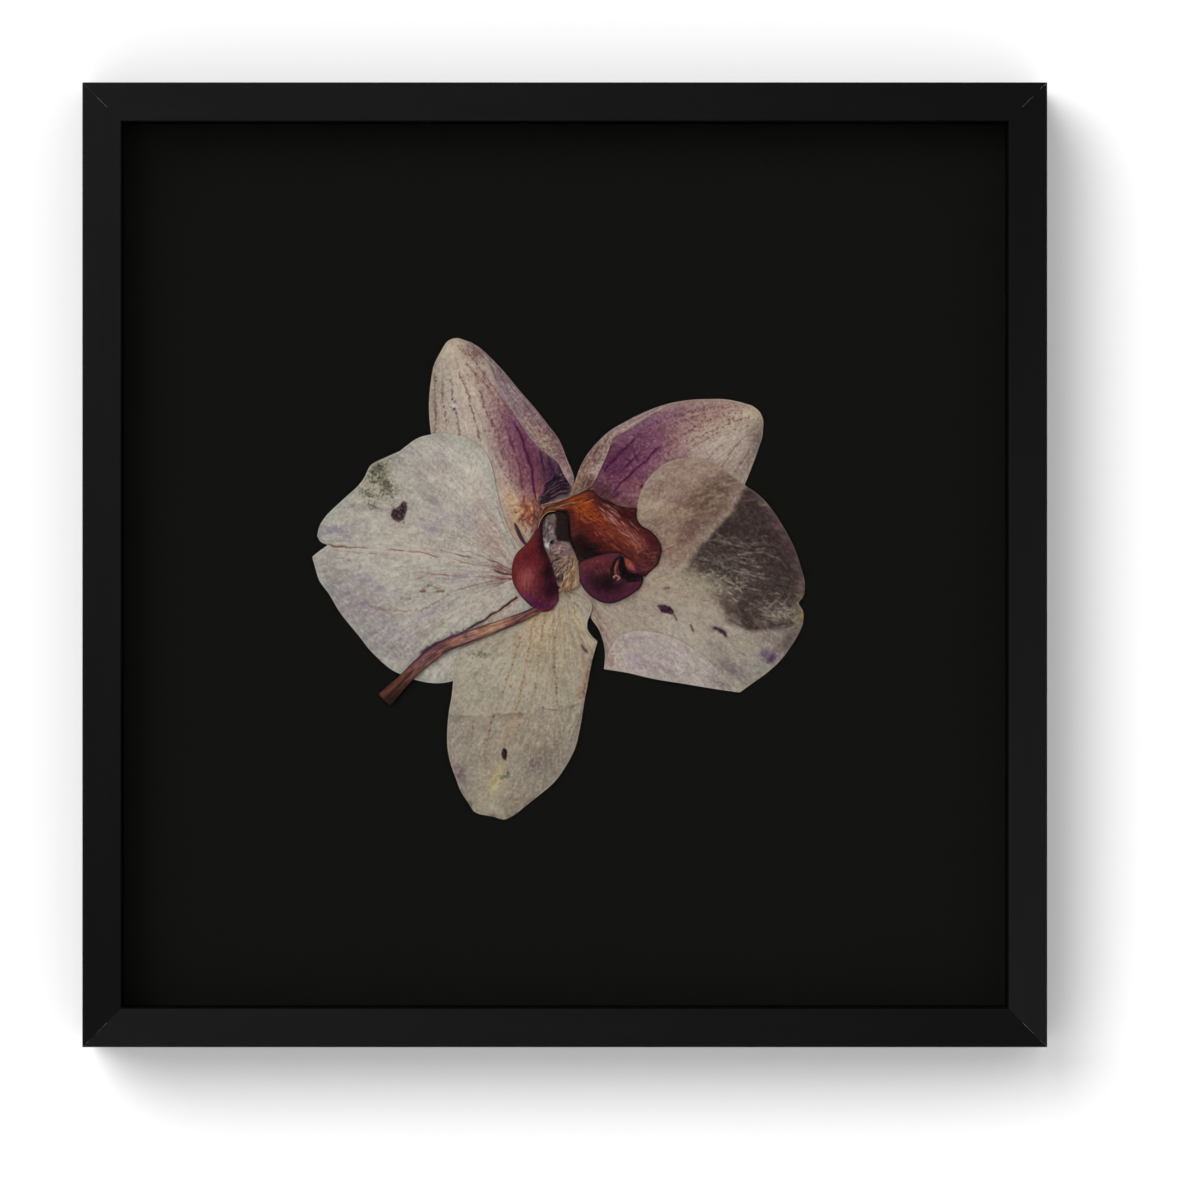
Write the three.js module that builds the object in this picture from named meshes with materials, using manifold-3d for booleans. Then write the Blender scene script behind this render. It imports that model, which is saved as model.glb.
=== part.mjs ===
// A pressed moth-orchid flower behind glass in a black square box frame with mitred rails.
//
// Millimetres. The frame is laid out as a picture is seen: x to the right, y up the picture and z
// out of the wall towards the viewer, with z = 0 on the wall. The last group stands it upright, so
// that the front faces -Y and the top is +Z, with the origin where the top rail lies on the wall.

import * as THREE from 'three';
import { TessellateModifier } from 'three/addons/modifiers/TessellateModifier.js';
import { mergeVertices } from 'three/addons/utils/BufferGeometryUtils.js';
import Module from 'manifold-3d';

const wasm = await Module();
wasm.setup();

// Driving sizes of the frame
const OUTER = 210;              // outside of the square frame
const DEPTH = 22;               // wall to front face
const RAIL_FACE = 8.5;          // rail as seen from the front
const RAIL_WALL = 4.5;          // rail behind its lip
const LIP_THICK = 2.5;          // lip in front of the glass
const ARRIS = 0.35;             // rounding of the rail's front edges
const MITRE_GAP = 0.1;          // each rail stops this far short of the mitre line
const GAP = 0.3;                // between pieces that touch

// The layers behind the lip, from the front to the back
const PANEL = 200;              // side of the pane and of both boards
const GLASS_THICK = 2;
const BOARD_DROP = 10;          // front face of the rails to the face of the mount board
const MOUNT_BOARD_THICK = 1.5;
const BACKING_THICK = 3;

const APERTURE = OUTER - 2 * RAIL_FACE;
const GLASS_BACK = DEPTH - LIP_THICK - GAP - GLASS_THICK;
const BOARD_FACE = DEPTH - BOARD_DROP;
const BACKING_BACK = BOARD_FACE - MOUNT_BOARD_THICK - GAP - BACKING_THICK;

// Retaining points, hanger and screws on the back
const TAB = { width: 6, length: 9, thick: 0.6, spread: 55 };
const TABS_PER_SIDE = 2;
const HANGER = { length: 44, height: 8, thick: 0.8, raised: 2.2, bridge: 22, ramp: 3 };
const TEETH = { count: 9, size: 1.4 };
const HANGER_DROP = 14;         // outside top edge to the middle of the hanger
const SCREW = { head: 2.3, dome: 1.1, shank: 0.9, length: 2.6, reach: 17.5, sides: 16 };

// Pressed flower
const SHEET = 0.45;             // thickness of a pressed petal or sepal
const FOLD = 0.3;               // height of a folded-over margin on its petal
const REST = 0.3;               // first layer above the mount board
const STEP_UP = 0.8;            // rise of a petal that crosses a sepal
const OVERLAP_UP = 1.0;         // rise of the lower sepal where it crosses the left petal
const CENTRE_RISE = 2.1;        // underside of the lip
const PATCH_FADE = { from: 0.98, to: 1.3 };      // a raised patch fades out between these radii
const LOWER_CLIMB = { from: -32, to: -26 };      // heights at which the lower sepal climbs
const LIP = { middle: 1.9, right: 1.6, left: 1.8, round: 0.6, claw: 0.4 };
const COLUMN = { height: 1.5, round: 0.4 };
const STALK = { radius: 1.25, flat: 0.6, sides: 10, steps: 26, low: 1.85, high: 2.85 };
const STALK_CLIMB = { from: -31, to: -25 };      // the stalk rises onto the lower sepal here
const WAVE = { height: 0.2, x: 0.16, y: 0.14, phase: 0.4 };
const TESSELLATION = { edge: 7, passes: 12 };
const CURVE_STEPS = 2;          // straight pieces for each point of a curved outline

const finish = {
  rail: new THREE.MeshStandardMaterial({ color: 0x1a1a1a, roughness: 0.5 }),
  glass: new THREE.MeshStandardMaterial({
    color: 0xf2f6f5, roughness: 0.05, transparent: true, opacity: 0.12,
  }),
  black_paper: new THREE.MeshStandardMaterial({ color: 0x12120f, roughness: 0.9 }),
  backing: new THREE.MeshStandardMaterial({ color: 0x6d5339, roughness: 0.85 }),
  steel: new THREE.MeshStandardMaterial({ color: 0x9a9a96, roughness: 0.4, metalness: 1 }),
  brass: new THREE.MeshStandardMaterial({ color: 0xb08a3c, roughness: 0.35, metalness: 1 }),
  sepal: new THREE.MeshStandardMaterial({ color: 0xb9a9a6, roughness: 0.8 }),
  petal: new THREE.MeshStandardMaterial({ color: 0xc9c8bf, roughness: 0.8 }),
  lip: new THREE.MeshStandardMaterial({ color: 0x7a3420, roughness: 0.45 }),
  column: new THREE.MeshStandardMaterial({ color: 0x9b9590, roughness: 0.7 }),
  stalk: new THREE.MeshStandardMaterial({ color: 0x7d5440, roughness: 0.7 }),
};

const picture = new THREE.Group();

function add(name, geometry, material, parent = picture) {
  const mesh = new THREE.Mesh(geometry, material);
  mesh.name = name;
  parent.add(mesh);
  return mesh;
}

// A closed geometry as a solid for joining and cutting, and back again
function toSolid(geometry) {
  const bare = geometry.clone();
  bare.deleteAttribute('normal');
  bare.deleteAttribute('uv');
  const merged = mergeVertices(bare, 1e-4);
  return new wasm.Manifold(new wasm.Mesh({
    numProp: 3,
    vertProperties: new Float32Array(merged.attributes.position.array),
    triVerts: new Uint32Array(merged.index.array),
  }));
}

function toGeometry(solid) {
  const mesh = solid.getMesh();
  const geometry = new THREE.BufferGeometry();
  const points = new Float32Array(mesh.vertProperties);
  geometry.setAttribute('position', new THREE.BufferAttribute(points, 3));
  geometry.setIndex(new THREE.BufferAttribute(new Uint32Array(mesh.triVerts), 1));
  return geometry;
}

// Rails: an L-shaped section with rounded front edges, drawn as (inward, out of the wall)
function railSection() {
  const lipBack = DEPTH - LIP_THICK;
  const section = new THREE.Shape();
  section.moveTo(0, 0);
  section.lineTo(RAIL_WALL, 0);
  section.lineTo(RAIL_WALL, lipBack);
  section.lineTo(RAIL_FACE, lipBack);
  section.lineTo(RAIL_FACE, DEPTH - ARRIS);
  section.absarc(RAIL_FACE - ARRIS, DEPTH - ARRIS, ARRIS, 0, Math.PI / 2);
  section.lineTo(ARRIS, DEPTH);
  section.absarc(ARRIS, DEPTH - ARRIS, ARRIS, Math.PI / 2, Math.PI);
  section.lineTo(0, 0);
  return section;
}

// Each end of the straight bar is slid back by its distance inward, which cuts the 45 degree mitre.
function railGeometry() {
  const bar = new THREE.ExtrudeGeometry(railSection(), {
    depth: OUTER,
    bevelEnabled: false,
    curveSegments: 3,
  });
  const position = bar.attributes.position;
  for (let i = 0; i < position.count; i += 1) {
    const inward = position.getX(i);
    const out = position.getY(i);
    const end = position.getZ(i) > OUTER / 2 ? -1 : 1;
    position.setXYZ(i, end * (OUTER / 2 - inward - MITRE_GAP), OUTER / 2 - inward, out);
  }
  return bar;
}

const railTurn = {
  rail_top: 0,
  rail_left: Math.PI / 2,
  rail_bottom: Math.PI,
  rail_right: -Math.PI / 2,
};
for (const [name, turn] of Object.entries(railTurn)) {
  add(name, railGeometry(), finish.rail).rotation.z = turn;
}

// Pane and boards
function slab(width, height, back, thick) {
  const box = new THREE.BoxGeometry(width, height, thick);
  box.translate(0, 0, back + thick / 2);
  return box;
}

add('glass', slab(PANEL, PANEL, GLASS_BACK, GLASS_THICK), finish.glass);
const mountBoardBack = BOARD_FACE - MOUNT_BOARD_THICK;
add('mount_board', slab(PANEL, PANEL, mountBoardBack, MOUNT_BOARD_THICK), finish.black_paper);

// Spacer strips, flush with the rails' inner edge: long ones above and below, short ones between
const spacerWidth = (PANEL - APERTURE) / 2;
const spacerBack = BOARD_FACE + GAP;
const spacerThick = GLASS_BACK - GAP - spacerBack;
const spacerOffset = (APERTURE + spacerWidth) / 2;
for (const [name, side] of [['spacer_top', 1], ['spacer_bottom', -1]]) {
  const strip = slab(PANEL, spacerWidth, spacerBack, spacerThick);
  add(name, strip, finish.black_paper).position.y = side * spacerOffset;
}
for (const [name, side] of [['spacer_right', 1], ['spacer_left', -1]]) {
  const strip = slab(spacerWidth, APERTURE - 2 * GAP, spacerBack, spacerThick);
  add(name, strip, finish.black_paper).position.x = side * spacerOffset;
}

// Flat retaining points, two to a side, pointing at the rail's wall
function tabGeometry() {
  const half = TAB.width / 2;
  const shape = new THREE.Shape();
  shape.moveTo(-half, 0);
  shape.lineTo(half, 0);
  shape.lineTo(half, TAB.length * 0.6);
  shape.lineTo(0, TAB.length);
  shape.lineTo(-half, TAB.length * 0.6);
  shape.closePath();
  return new THREE.ExtrudeGeometry(shape, { depth: TAB.thick, bevelEnabled: false });
}

const tabReach = OUTER / 2 - RAIL_WALL - GAP - TAB.length;
for (let i = 0; i < 4 * TABS_PER_SIDE; i += 1) {
  const side = new THREE.Group();
  side.rotation.z = Math.floor(i / TABS_PER_SIDE) * Math.PI / 2;
  const tab = add(`retaining_tab_${i + 1}`, tabGeometry(), finish.steel, side);
  tab.position.set(i % 2 ? TAB.spread : -TAB.spread, tabReach, BACKING_BACK - GAP - TAB.thick);
  picture.add(side);
}

// Toothed hanging plate: a strap bent out from the backing board, with teeth along its lower edge
function hangerGeometry() {
  const flat = HANGER.length / 2;
  const bridge = HANGER.bridge / 2;
  const foot = bridge + HANGER.ramp;
  const bend = HANGER.thick / 2;
  const profile = new THREE.Shape();
  profile.moveTo(-flat, 0);
  profile.lineTo(-flat, -HANGER.thick);
  profile.lineTo(-foot - bend, -HANGER.thick);
  profile.lineTo(-bridge - bend, -HANGER.raised - HANGER.thick);
  profile.lineTo(bridge + bend, -HANGER.raised - HANGER.thick);
  profile.lineTo(foot + bend, -HANGER.thick);
  profile.lineTo(flat, -HANGER.thick);
  profile.lineTo(flat, 0);
  profile.lineTo(foot, 0);
  profile.lineTo(bridge, -HANGER.raised);
  profile.lineTo(-bridge, -HANGER.raised);
  profile.lineTo(-foot, 0);
  profile.closePath();
  const strap = new THREE.ExtrudeGeometry(profile, { depth: HANGER.height, bevelEnabled: false });
  strap.rotateX(Math.PI / 2);
  strap.translate(0, HANGER.height / 2, 0);

  let solid = toSolid(strap);
  const pitch = HANGER.bridge / TEETH.count;
  for (let i = 0; i < TEETH.count; i += 1) {
    const notch = new THREE.CylinderGeometry(TEETH.size, TEETH.size, 2 * HANGER.raised, 3);
    notch.rotateX(Math.PI / 2);
    const notchX = (i + 0.5 - TEETH.count / 2) * pitch;
    notch.translate(notchX, -HANGER.height / 2, -HANGER.raised - bend);
    solid = solid.subtract(toSolid(notch));
  }
  for (const side of [-1, 1]) {
    solid = solid.subtract(toSolid(screwHole(side * SCREW.reach, 0, 2 * HANGER.thick, -bend)));
  }
  return toGeometry(solid);
}

// A round hole of the screw's clearance size, centred on (x, y, z) and running along z
function screwHole(x, y, length, z) {
  const hole = new THREE.CylinderGeometry(SCREW.shank + GAP, SCREW.shank + GAP, length, SCREW.sides);
  hole.rotateX(Math.PI / 2);
  hole.translate(x, y, z);
  return hole;
}

// Domed screw, head down towards the wall and shank up into the backing board
function screwGeometry() {
  const outline = [
    new THREE.Vector2(0, -SCREW.dome),
    new THREE.Vector2(SCREW.head * 0.5, -SCREW.dome * 0.92),
    new THREE.Vector2(SCREW.head * 0.87, -SCREW.dome * 0.55),
    new THREE.Vector2(SCREW.head, 0),
    new THREE.Vector2(SCREW.shank, 0),
    new THREE.Vector2(SCREW.shank, SCREW.length),
    new THREE.Vector2(0, SCREW.length),
  ];
  const screw = new THREE.LatheGeometry(outline, SCREW.sides);
  screw.rotateX(Math.PI / 2);
  return screw;
}

const hangerY = OUTER / 2 - HANGER_DROP;
const hangerZ = BACKING_BACK - GAP;
const screwZ = hangerZ - HANGER.thick - GAP;
add('hanger', hangerGeometry(), finish.steel).position.set(0, hangerY, hangerZ);
add('hanger_screw_left', screwGeometry(), finish.brass).position.set(-SCREW.reach, hangerY, screwZ);
add('hanger_screw_right', screwGeometry(), finish.brass).position.set(SCREW.reach, hangerY, screwZ);

// Backing board with a blind hole for each screw
let backing = toSolid(slab(PANEL, PANEL, BACKING_BACK, BACKING_THICK));
for (const side of [-1, 1]) {
  const depth = 2 * (screwZ + SCREW.length + GAP - BACKING_BACK);
  backing = backing.subtract(toSolid(screwHole(side * SCREW.reach, hangerY, depth, BACKING_BACK)));
}
add('backing_board', toGeometry(backing), finish.backing);

// The flower lies on the mount board. Its outlines are in millimetres from the middle of the frame.
const flower = new THREE.Group();
flower.position.z = BOARD_FACE;
picture.add(flower);

const smooth = THREE.MathUtils.smoothstep;

// Slow wave of the pressed flower, shared by all its pieces
function wave(x, y) {
  return WAVE.height * (1 + Math.sin(WAVE.x * x + WAVE.phase) * Math.cos(WAVE.y * y));
}

// 1 on an oval patch, falling to 0 outside it
function patch(x, y, oval) {
  const along = (x - oval.x) * Math.cos(oval.turn) + (y - oval.y) * Math.sin(oval.turn);
  const across = (y - oval.y) * Math.cos(oval.turn) - (x - oval.x) * Math.sin(oval.turn);
  const radius = Math.hypot(along / oval.long, across / oval.wide);
  return 1 - smooth(radius, PATCH_FADE.from, PATCH_FADE.to);
}

// A closed outline from smooth stretches that meet in corners; a stretch of two points is straight
function outlineShape(stretches) {
  const shape = new THREE.Shape();
  shape.moveTo(...stretches[0][0]);
  for (const stretch of stretches) {
    const rest = stretch.slice(1).map(([x, y]) => new THREE.Vector2(x, y));
    if (rest.length === 1) {
      shape.lineTo(rest[0].x, rest[0].y);
    } else {
      shape.splineThru(rest);
    }
  }
  return shape;
}

// A flat sheet within its outline
function plate(stretches, bottom, thick) {
  const sheet = new THREE.ExtrudeGeometry(outlineShape(stretches), {
    depth: thick,
    bevelEnabled: false,
    curveSegments: CURVE_STEPS,
  });
  sheet.translate(0, 0, bottom);
  return toSolid(sheet);
}

// Cut a flat geometry into small triangles and lift each corner by rise(x, y)
function drape(geometry, rise) {
  const fine = new TessellateModifier(TESSELLATION.edge, TESSELLATION.passes).modify(geometry);
  fine.deleteAttribute('normal');
  fine.deleteAttribute('uv');
  const draped = mergeVertices(fine, 1e-4);
  const position = draped.attributes.position;
  for (let i = 0; i < position.count; i += 1) {
    const x = position.getX(i);
    const y = position.getY(i);
    position.setZ(i, position.getZ(i) + wave(x, y) + rise(x, y));
  }
  return draped;
}

// A pressed petal or sepal: a thin sheet, thicker where its margin is folded over
function pressedSheet({ outline, folds = [], rise }) {
  let solid = plate(outline, 0, SHEET);
  for (const fold of folds) {
    solid = solid.add(plate(outline, SHEET / 2, SHEET / 2 + FOLD).intersect(plate(fold, 0, 2 * SHEET)));
  }
  return drape(toGeometry(solid), rise);
}

// Where the two upper sepals lie under the petals
const leftSepalPatch = { x: -15, y: 25, long: 28, wide: 15, turn: 1.951 };
const rightSepalPatch = { x: 23, y: 18, long: 30, wide: 18, turn: 0.563 };

const sepalUpperLeft = {
  outline: [
    [
      [1.1, 14.2], [1.8, 19], [0.5, 23.2], [-3.4, 30.4], [-9.7, 37.1], [-16.4, 44.6], [-21.4, 48.9],
      [-25.6, 49.1], [-28.7, 43.7], [-29.5, 35.6], [-28.2, 22.5], [-25.6, 14.8], [-20.8, 8],
      [-14.2, 3.4], [-6.5, 1.5],
    ],
    [[-6.5, 1.5], [-1.7, 2.8], [1.1, 14.2]],
  ],
  folds: [[
    [[-17.9, 46.6], [-14.4, 38.3], [-10.9, 32.1], [-7, 26.9], [-1.5, 22.1], [1.4, 17.7]],
    [[1.4, 17.7], [8, 20]],
    [[8, 20], [-14, 52]],
    [[-14, 52], [-17.9, 46.6]],
  ]],
  rise: () => REST,
};

const sepalUpperRight = {
  outline: [
    [
      [2, 14.2], [2.7, 19], [6.4, 26], [12.6, 30.8], [20.9, 33.8], [28.7, 36], [35.8, 35.9],
      [41.2, 34.8], [43.4, 30.5], [41.8, 23.6], [39.5, 17.6], [36.1, 11.1], [30.3, 5.1],
      [24.4, -0.5], [18.7, -2], [12.1, -0.7],
    ],
    [[12.1, -0.7], [6.4, 2.8], [2, 14.2]],
  ],
  folds: [[
    [[6.1, 17], [8, 21.6], [10.5, 28]],
    [[10.5, 28], [15.5, 30.9], [21, 33]],
    [[21, 33], [18, 40]],
    [[18, 40], [-4, 22]],
    [[-4, 22], [6.1, 17]],
  ]],
  rise: () => REST,
};

const petalLeft = {
  outline: [
    [
      [-7.6, 1.9], [-12.4, 8], [-14.8, 15.2], [-16.2, 22.7], [-20, 27.1], [-27.1, 28.9],
      [-34.8, 25.9], [-40.1, 23.2], [-43.5, 19.7], [-50.1, 12.9], [-53.6, 8], [-54.3, 6.1],
    ],
    [[-54.3, 6.1], [-52.6, 4], [-55.4, 1.7]],
    [
      [-55.4, 1.7], [-53.8, -3.3], [-49.4, -10.1], [-42.9, -18.5], [-36.1, -23.9], [-29.4, -25.9],
      [-24.5, -25.5], [-14.2, -20], [-5.9, -10.3],
    ],
    [[-5.9, -10.3], [-4.1, -5.5], [-5.4, -0.7], [-7.6, 1.9]],
  ],
  rise: (x, y) => REST + STEP_UP * patch(x, y, leftSepalPatch),
};

const petalRight = {
  outline: [
    [[0.5, -5.7], [4.9, -10.1], [8.2, -17.4], [8.7, -22.9]],
    [[8.7, -22.9], [18.5, -24.7], [38.3, -28]],
    [[38.3, -28], [43.9, -23.9], [49.8, -18.5], [52.1, -11.8], [51.1, -8.3]],
    [
      [51.1, -8.3], [52.7, -4.9], [50.2, 4.1], [45.1, 12.3], [39.5, 17.5], [33.8, 21.6],
      [27.9, 23.4], [22, 21.8], [17.4, 16.6], [15.8, 10.3], [7.7, 1],
    ],
    [[7.7, 1], [2.2, -1.6], [0.5, -5.7]],
  ],
  folds: [[
    [[8, -22.5], [10.3, -18.5], [15.4, -14.7], [21.6, -14.9], [29.8, -19.7], [35.3, -24.8]],
    [[35.3, -24.8], [40, -30]],
    [[40, -30], [6, -28]],
    [[6, -28], [8, -22.5]],
  ]],
  rise: (x, y) => REST + STEP_UP * patch(x, y, rightSepalPatch),
};

const sepalLower = {
  outline: [
    [[-0.4, -7.1], [-7.6, -10.3], [-18.6, -16.5], [-23.4, -18.7]],
    [
      [-23.4, -18.7], [-24.4, -25.7], [-25.6, -32], [-25.8, -40.4], [-22.3, -50], [-19, -54.6],
      [-13.3, -55.7], [-5.2, -49.8], [0.1, -43.6], [3.5, -34.7], [5.1, -25.7], [5.7, -21.3],
    ],
    [[5.7, -21.3], [7, -16.7]],
    [[7, -16.7], [4.4, -13.2], [2.4, -9.3], [-0.4, -7.1]],
  ],
  rise: (x, y) => REST + OVERLAP_UP * smooth(y, LOWER_CLIMB.from, LOWER_CLIMB.to),
};

add('sepal_upper_left', pressedSheet(sepalUpperLeft), finish.sepal, flower);
add('sepal_upper_right', pressedSheet(sepalUpperRight), finish.sepal, flower);
add('petal_left', pressedSheet(petalLeft), finish.petal, flower);
add('petal_right', pressedSheet(petalRight), finish.petal, flower);
add('sepal_lower', pressedSheet(sepalLower), finish.petal, flower);

// A flattened fleshy piece with rounded edges, within its outline
function fleshyPiece(stretches, bottom, height, round) {
  const body = new THREE.ExtrudeGeometry(outlineShape(stretches), {
    depth: height - 2 * round,
    bevelThickness: round,
    bevelSize: round,
    bevelOffset: -round,
    bevelSegments: 2,
    curveSegments: CURVE_STEPS,
  });
  body.translate(0, 0, bottom + round);
  return toSolid(body);
}

// Lip: a broad middle lobe, a rounded lobe on each side, and the claw under the column joining them
const middleLobe = [
  [
    [-1, 14], [3.3, 15.5], [6, 16], [11.9, 13.1], [15.8, 12], [18.5, 7.2], [21.3, 3],
    [20.4, -0.6], [16.2, -3.8],
  ],
  [[16.2, -3.8], [9, 1], [2.5, 1.9], [-0.2, 9.8], [-1, 14]],
];
const rightLobe = [[
  [4.9, 1], [3.1, -1.4], [4, -4.9], [8.6, -8.4], [14.2, -6.2], [16.5, -3.8], [15.2, -0.3],
  [9, 2.6], [4.9, 1],
]];
const leftLobe = [[
  [-5.9, 7.6], [-10.7, 2.6], [-11.8, -0.9], [-9.8, -7.7], [-5.2, -10.3], [-1.5, -7.7],
  [-3, -0.9], [-5.9, 7.6],
]];
const claw = [
  [[-5.4, 4.3], [4.4, 4.3]],
  [[4.4, 4.3], [4.4, -1.6]],
  [[4.4, -1.6], [-4.3, -3.3]],
  [[-4.3, -3.3], [-5.4, 4.3]],
];
const lip = fleshyPiece(middleLobe, CENTRE_RISE, LIP.middle, LIP.round)
  .add(fleshyPiece(rightLobe, CENTRE_RISE, LIP.right, LIP.round))
  .add(fleshyPiece(leftLobe, CENTRE_RISE, LIP.left, LIP.round))
  .add(plate(claw, CENTRE_RISE, LIP.claw));
add('lip', drape(toGeometry(lip), () => 0), finish.lip, flower);

// Column: the pale spindle in the middle, lying on the claw between the lobes
const columnOutline = [[
  [-3.9, 8.2], [-2.8, 9.8], [-1.2, 9.6], [-0.4, 6], [0.9, 1.6], [1, -2.6], [-0.4, -4.6],
  [-1.9, -2.9], [-2.9, 1], [-4.1, 5], [-3.9, 8.2],
]];
const columnBottom = CENTRE_RISE + LIP.claw + GAP;
const column = fleshyPiece(columnOutline, columnBottom, COLUMN.height, COLUMN.round);
add('column', drape(toGeometry(column), () => 0), finish.column, flower);

// Pedicel: the flattened stalk from its cut end, over the left petal and the lower sepal, to the lip
const stalkPath = new THREE.CatmullRomCurve3([
  [-39.5, -29.6], [-36.7, -26.8], [-33.2, -23.3], [-29.5, -19.9], [-25.6, -17.4], [-21.2, -15.8],
  [-16.4, -14.2], [-11.6, -12.6], [-8.6, -11.6],
].map(([x, y]) => new THREE.Vector3(x, y, 0)));
const stalkSection = new THREE.Shape();
stalkSection.absarc(0, 0, STALK.radius, 0, 2 * Math.PI);
const stalk = new THREE.ExtrudeGeometry(stalkSection, {
  steps: STALK.steps,
  curveSegments: STALK.sides / 2,
  extrudePath: stalkPath,
});
stalk.scale(1, 1, STALK.flat);
function stalkRise(x) {
  return STALK.low + (STALK.high - STALK.low) * smooth(x, STALK_CLIMB.from, STALK_CLIMB.to);
}
add('pedicel', drape(stalk, stalkRise), finish.stalk, flower);

// Stand the picture upright, with the origin on the back of the top rail
const upright = new THREE.Group();
picture.rotation.x = Math.PI / 2;
picture.position.z = RAIL_WALL / 2 - OUTER / 2;
upright.add(picture);

export default upright;
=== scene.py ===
import math

import bpy
import numpy as np
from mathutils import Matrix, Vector


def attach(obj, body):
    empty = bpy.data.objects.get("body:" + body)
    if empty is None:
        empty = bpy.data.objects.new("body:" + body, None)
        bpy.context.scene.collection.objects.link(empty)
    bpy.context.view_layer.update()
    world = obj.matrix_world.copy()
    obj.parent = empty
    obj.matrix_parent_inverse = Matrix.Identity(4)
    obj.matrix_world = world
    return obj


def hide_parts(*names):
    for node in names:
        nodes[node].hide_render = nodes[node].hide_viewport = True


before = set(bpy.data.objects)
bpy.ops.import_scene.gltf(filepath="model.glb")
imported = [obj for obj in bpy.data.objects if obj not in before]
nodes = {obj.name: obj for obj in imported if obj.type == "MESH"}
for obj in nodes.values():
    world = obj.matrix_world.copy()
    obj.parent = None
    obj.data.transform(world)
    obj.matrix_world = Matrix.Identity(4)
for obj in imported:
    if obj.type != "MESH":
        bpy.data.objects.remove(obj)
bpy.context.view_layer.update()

# The flower's plan is given in squares, which are the pixels of the photo: x runs right and y runs
# down. Heights are in mm above the mounting board.
PHOTO = 1200                    # squares across the photo
SQUARE = 0.000219               # metres to a square at the mounting board
MIDDLE = 564.75                 # middle of the frame, in squares from the left and from the top
MM = 0.001

# The frame, in metres
FRAME_MIDDLE = -0.10275         # height of its middle
BOARD_FACE = 0.012              # wall to the face of the mounting board
OUTER = 0.105                   # middle to the outside of a rail
DEPTH = 0.022                   # wall to the front of a rail
RAIL_WALL = 0.0045              # rail behind its lip
RAIL_FACE = 0.0085              # rail as seen from the front
LIP_BACK = 0.0195               # wall to the back of the lip
ARRIS = 0.00035                 # rounding of the front edges
ARRIS_STEPS = 7                 # points on the rounding
MITRE_GAP = 0.000006            # each rail stops this far short of the mitre line

# Tones are given as they look under the scene's light, from 0 to 255
LIGHT = 1.2                     # strength of the light that falls on the flower


def linear(tone):
    """Share of light reflected for a tone as it looks in the scene: the display curve undone,
    divided by the strength of the light."""
    share = np.clip(np.asarray(tone, float) / 255, 0, 1)
    low = share / 12.92
    high = ((share + 0.055) / 1.055) ** 2.4
    return np.where(share <= 0.04045, low, high) / LIGHT


def noise(x, y, seed):
    """Smooth noise from -1 to 1: random values at whole places, joined by an S-shaped blend."""
    values = np.random.default_rng(seed).uniform(-1, 1, (256, 256))
    i = np.floor(x).astype(int)
    j = np.floor(y).astype(int)
    s = x - i
    t = y - j
    s = s * s * (3 - 2 * s)
    t = t * t * (3 - 2 * t)
    near_row = (1 - s) * values[j % 256, i % 256] + s * values[j % 256, (i + 1) % 256]
    far_row = (1 - s) * values[(j + 1) % 256, i % 256] + s * values[(j + 1) % 256, (i + 1) % 256]
    return (1 - t) * near_row + t * far_row


def rough(x, y, seed, octaves=3):
    """Several noises added, each half as wide and 0.6 as strong as the one before."""
    total = 0
    for k in range(octaves):
        total = total + 0.6**k * noise(x * 2**k + 17 * k, y * 2**k + 31 * k, seed + k)
    return total / sum(0.6**k for k in range(octaves))


def smooth(value, start, end):
    """S-shaped step from 0 at start to 1 at end."""
    t = np.clip((value - start) / (end - start), 0, 1)
    return t * t * (3 - 2 * t)


def curve(points, count):
    """Cubic Hermite curve through points, its slopes averaged from both neighbours, walked at
    count places spaced evenly by length. A point given twice is a corner."""
    points = np.asarray(points, float)
    gaps = np.linalg.norm(np.diff(points, axis=0), axis=1)
    breaks = [0] + [k + 1 for k in range(len(gaps)) if gaps[k] == 0] + [len(points)]
    walked = []
    for start, end in zip(breaks[:-1], breaks[1:]):
        run = points[start:end]
        if len(run) < 2:
            continue
        steps = np.linalg.norm(np.diff(run, axis=0), axis=1)
        at = np.concatenate([[0], np.cumsum(steps)])
        slopes = np.diff(run, axis=0) / steps[:, None]
        inner = (slopes[:-1] * steps[1:, None] + slopes[1:] * steps[:-1, None]) / (
            steps[1:] + steps[:-1]
        )[:, None]
        tangents = np.concatenate([slopes[:1], inner, slopes[-1:]])
        place = np.linspace(0, at[-1], 24 * len(steps) + 1)
        k = np.clip(np.searchsorted(at, place, side="right") - 1, 0, len(steps) - 1)
        width = steps[k]
        t = (place - at[k]) / width
        t, width = t[:, None], width[:, None]
        walked.append(
            (2 * t**3 - 3 * t**2 + 1) * run[k]
            + (t**3 - 2 * t**2 + t) * width * tangents[k]
            + (3 * t**2 - 2 * t**3) * run[k + 1]
            + (t**3 - t**2) * width * tangents[k + 1]
        )
    dense = np.concatenate(walked)
    length = np.concatenate([[0], np.cumsum(np.linalg.norm(np.diff(dense, axis=0), axis=1))])
    even = np.linspace(0, length[-1], count)
    return np.stack([np.interp(even, length, dense[:, k]) for k in range(dense.shape[1])], -1)


def spanned(base, tip, left, right):
    """Coons patch: the two surfaces ruled between opposite sides, added, less the bilinear
    surface through the four corners."""
    u = np.linspace(0, 1, len(base))[None, :, None]
    v = np.linspace(0, 1, len(left))[:, None, None]
    corners = (
        (1 - u) * (1 - v) * base[0]
        + u * (1 - v) * base[-1]
        + (1 - u) * v * tip[0]
        + u * v * tip[-1]
    )
    return (1 - v) * base + v * tip + (1 - u) * left[:, None] + u * right[:, None] - corners


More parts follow.
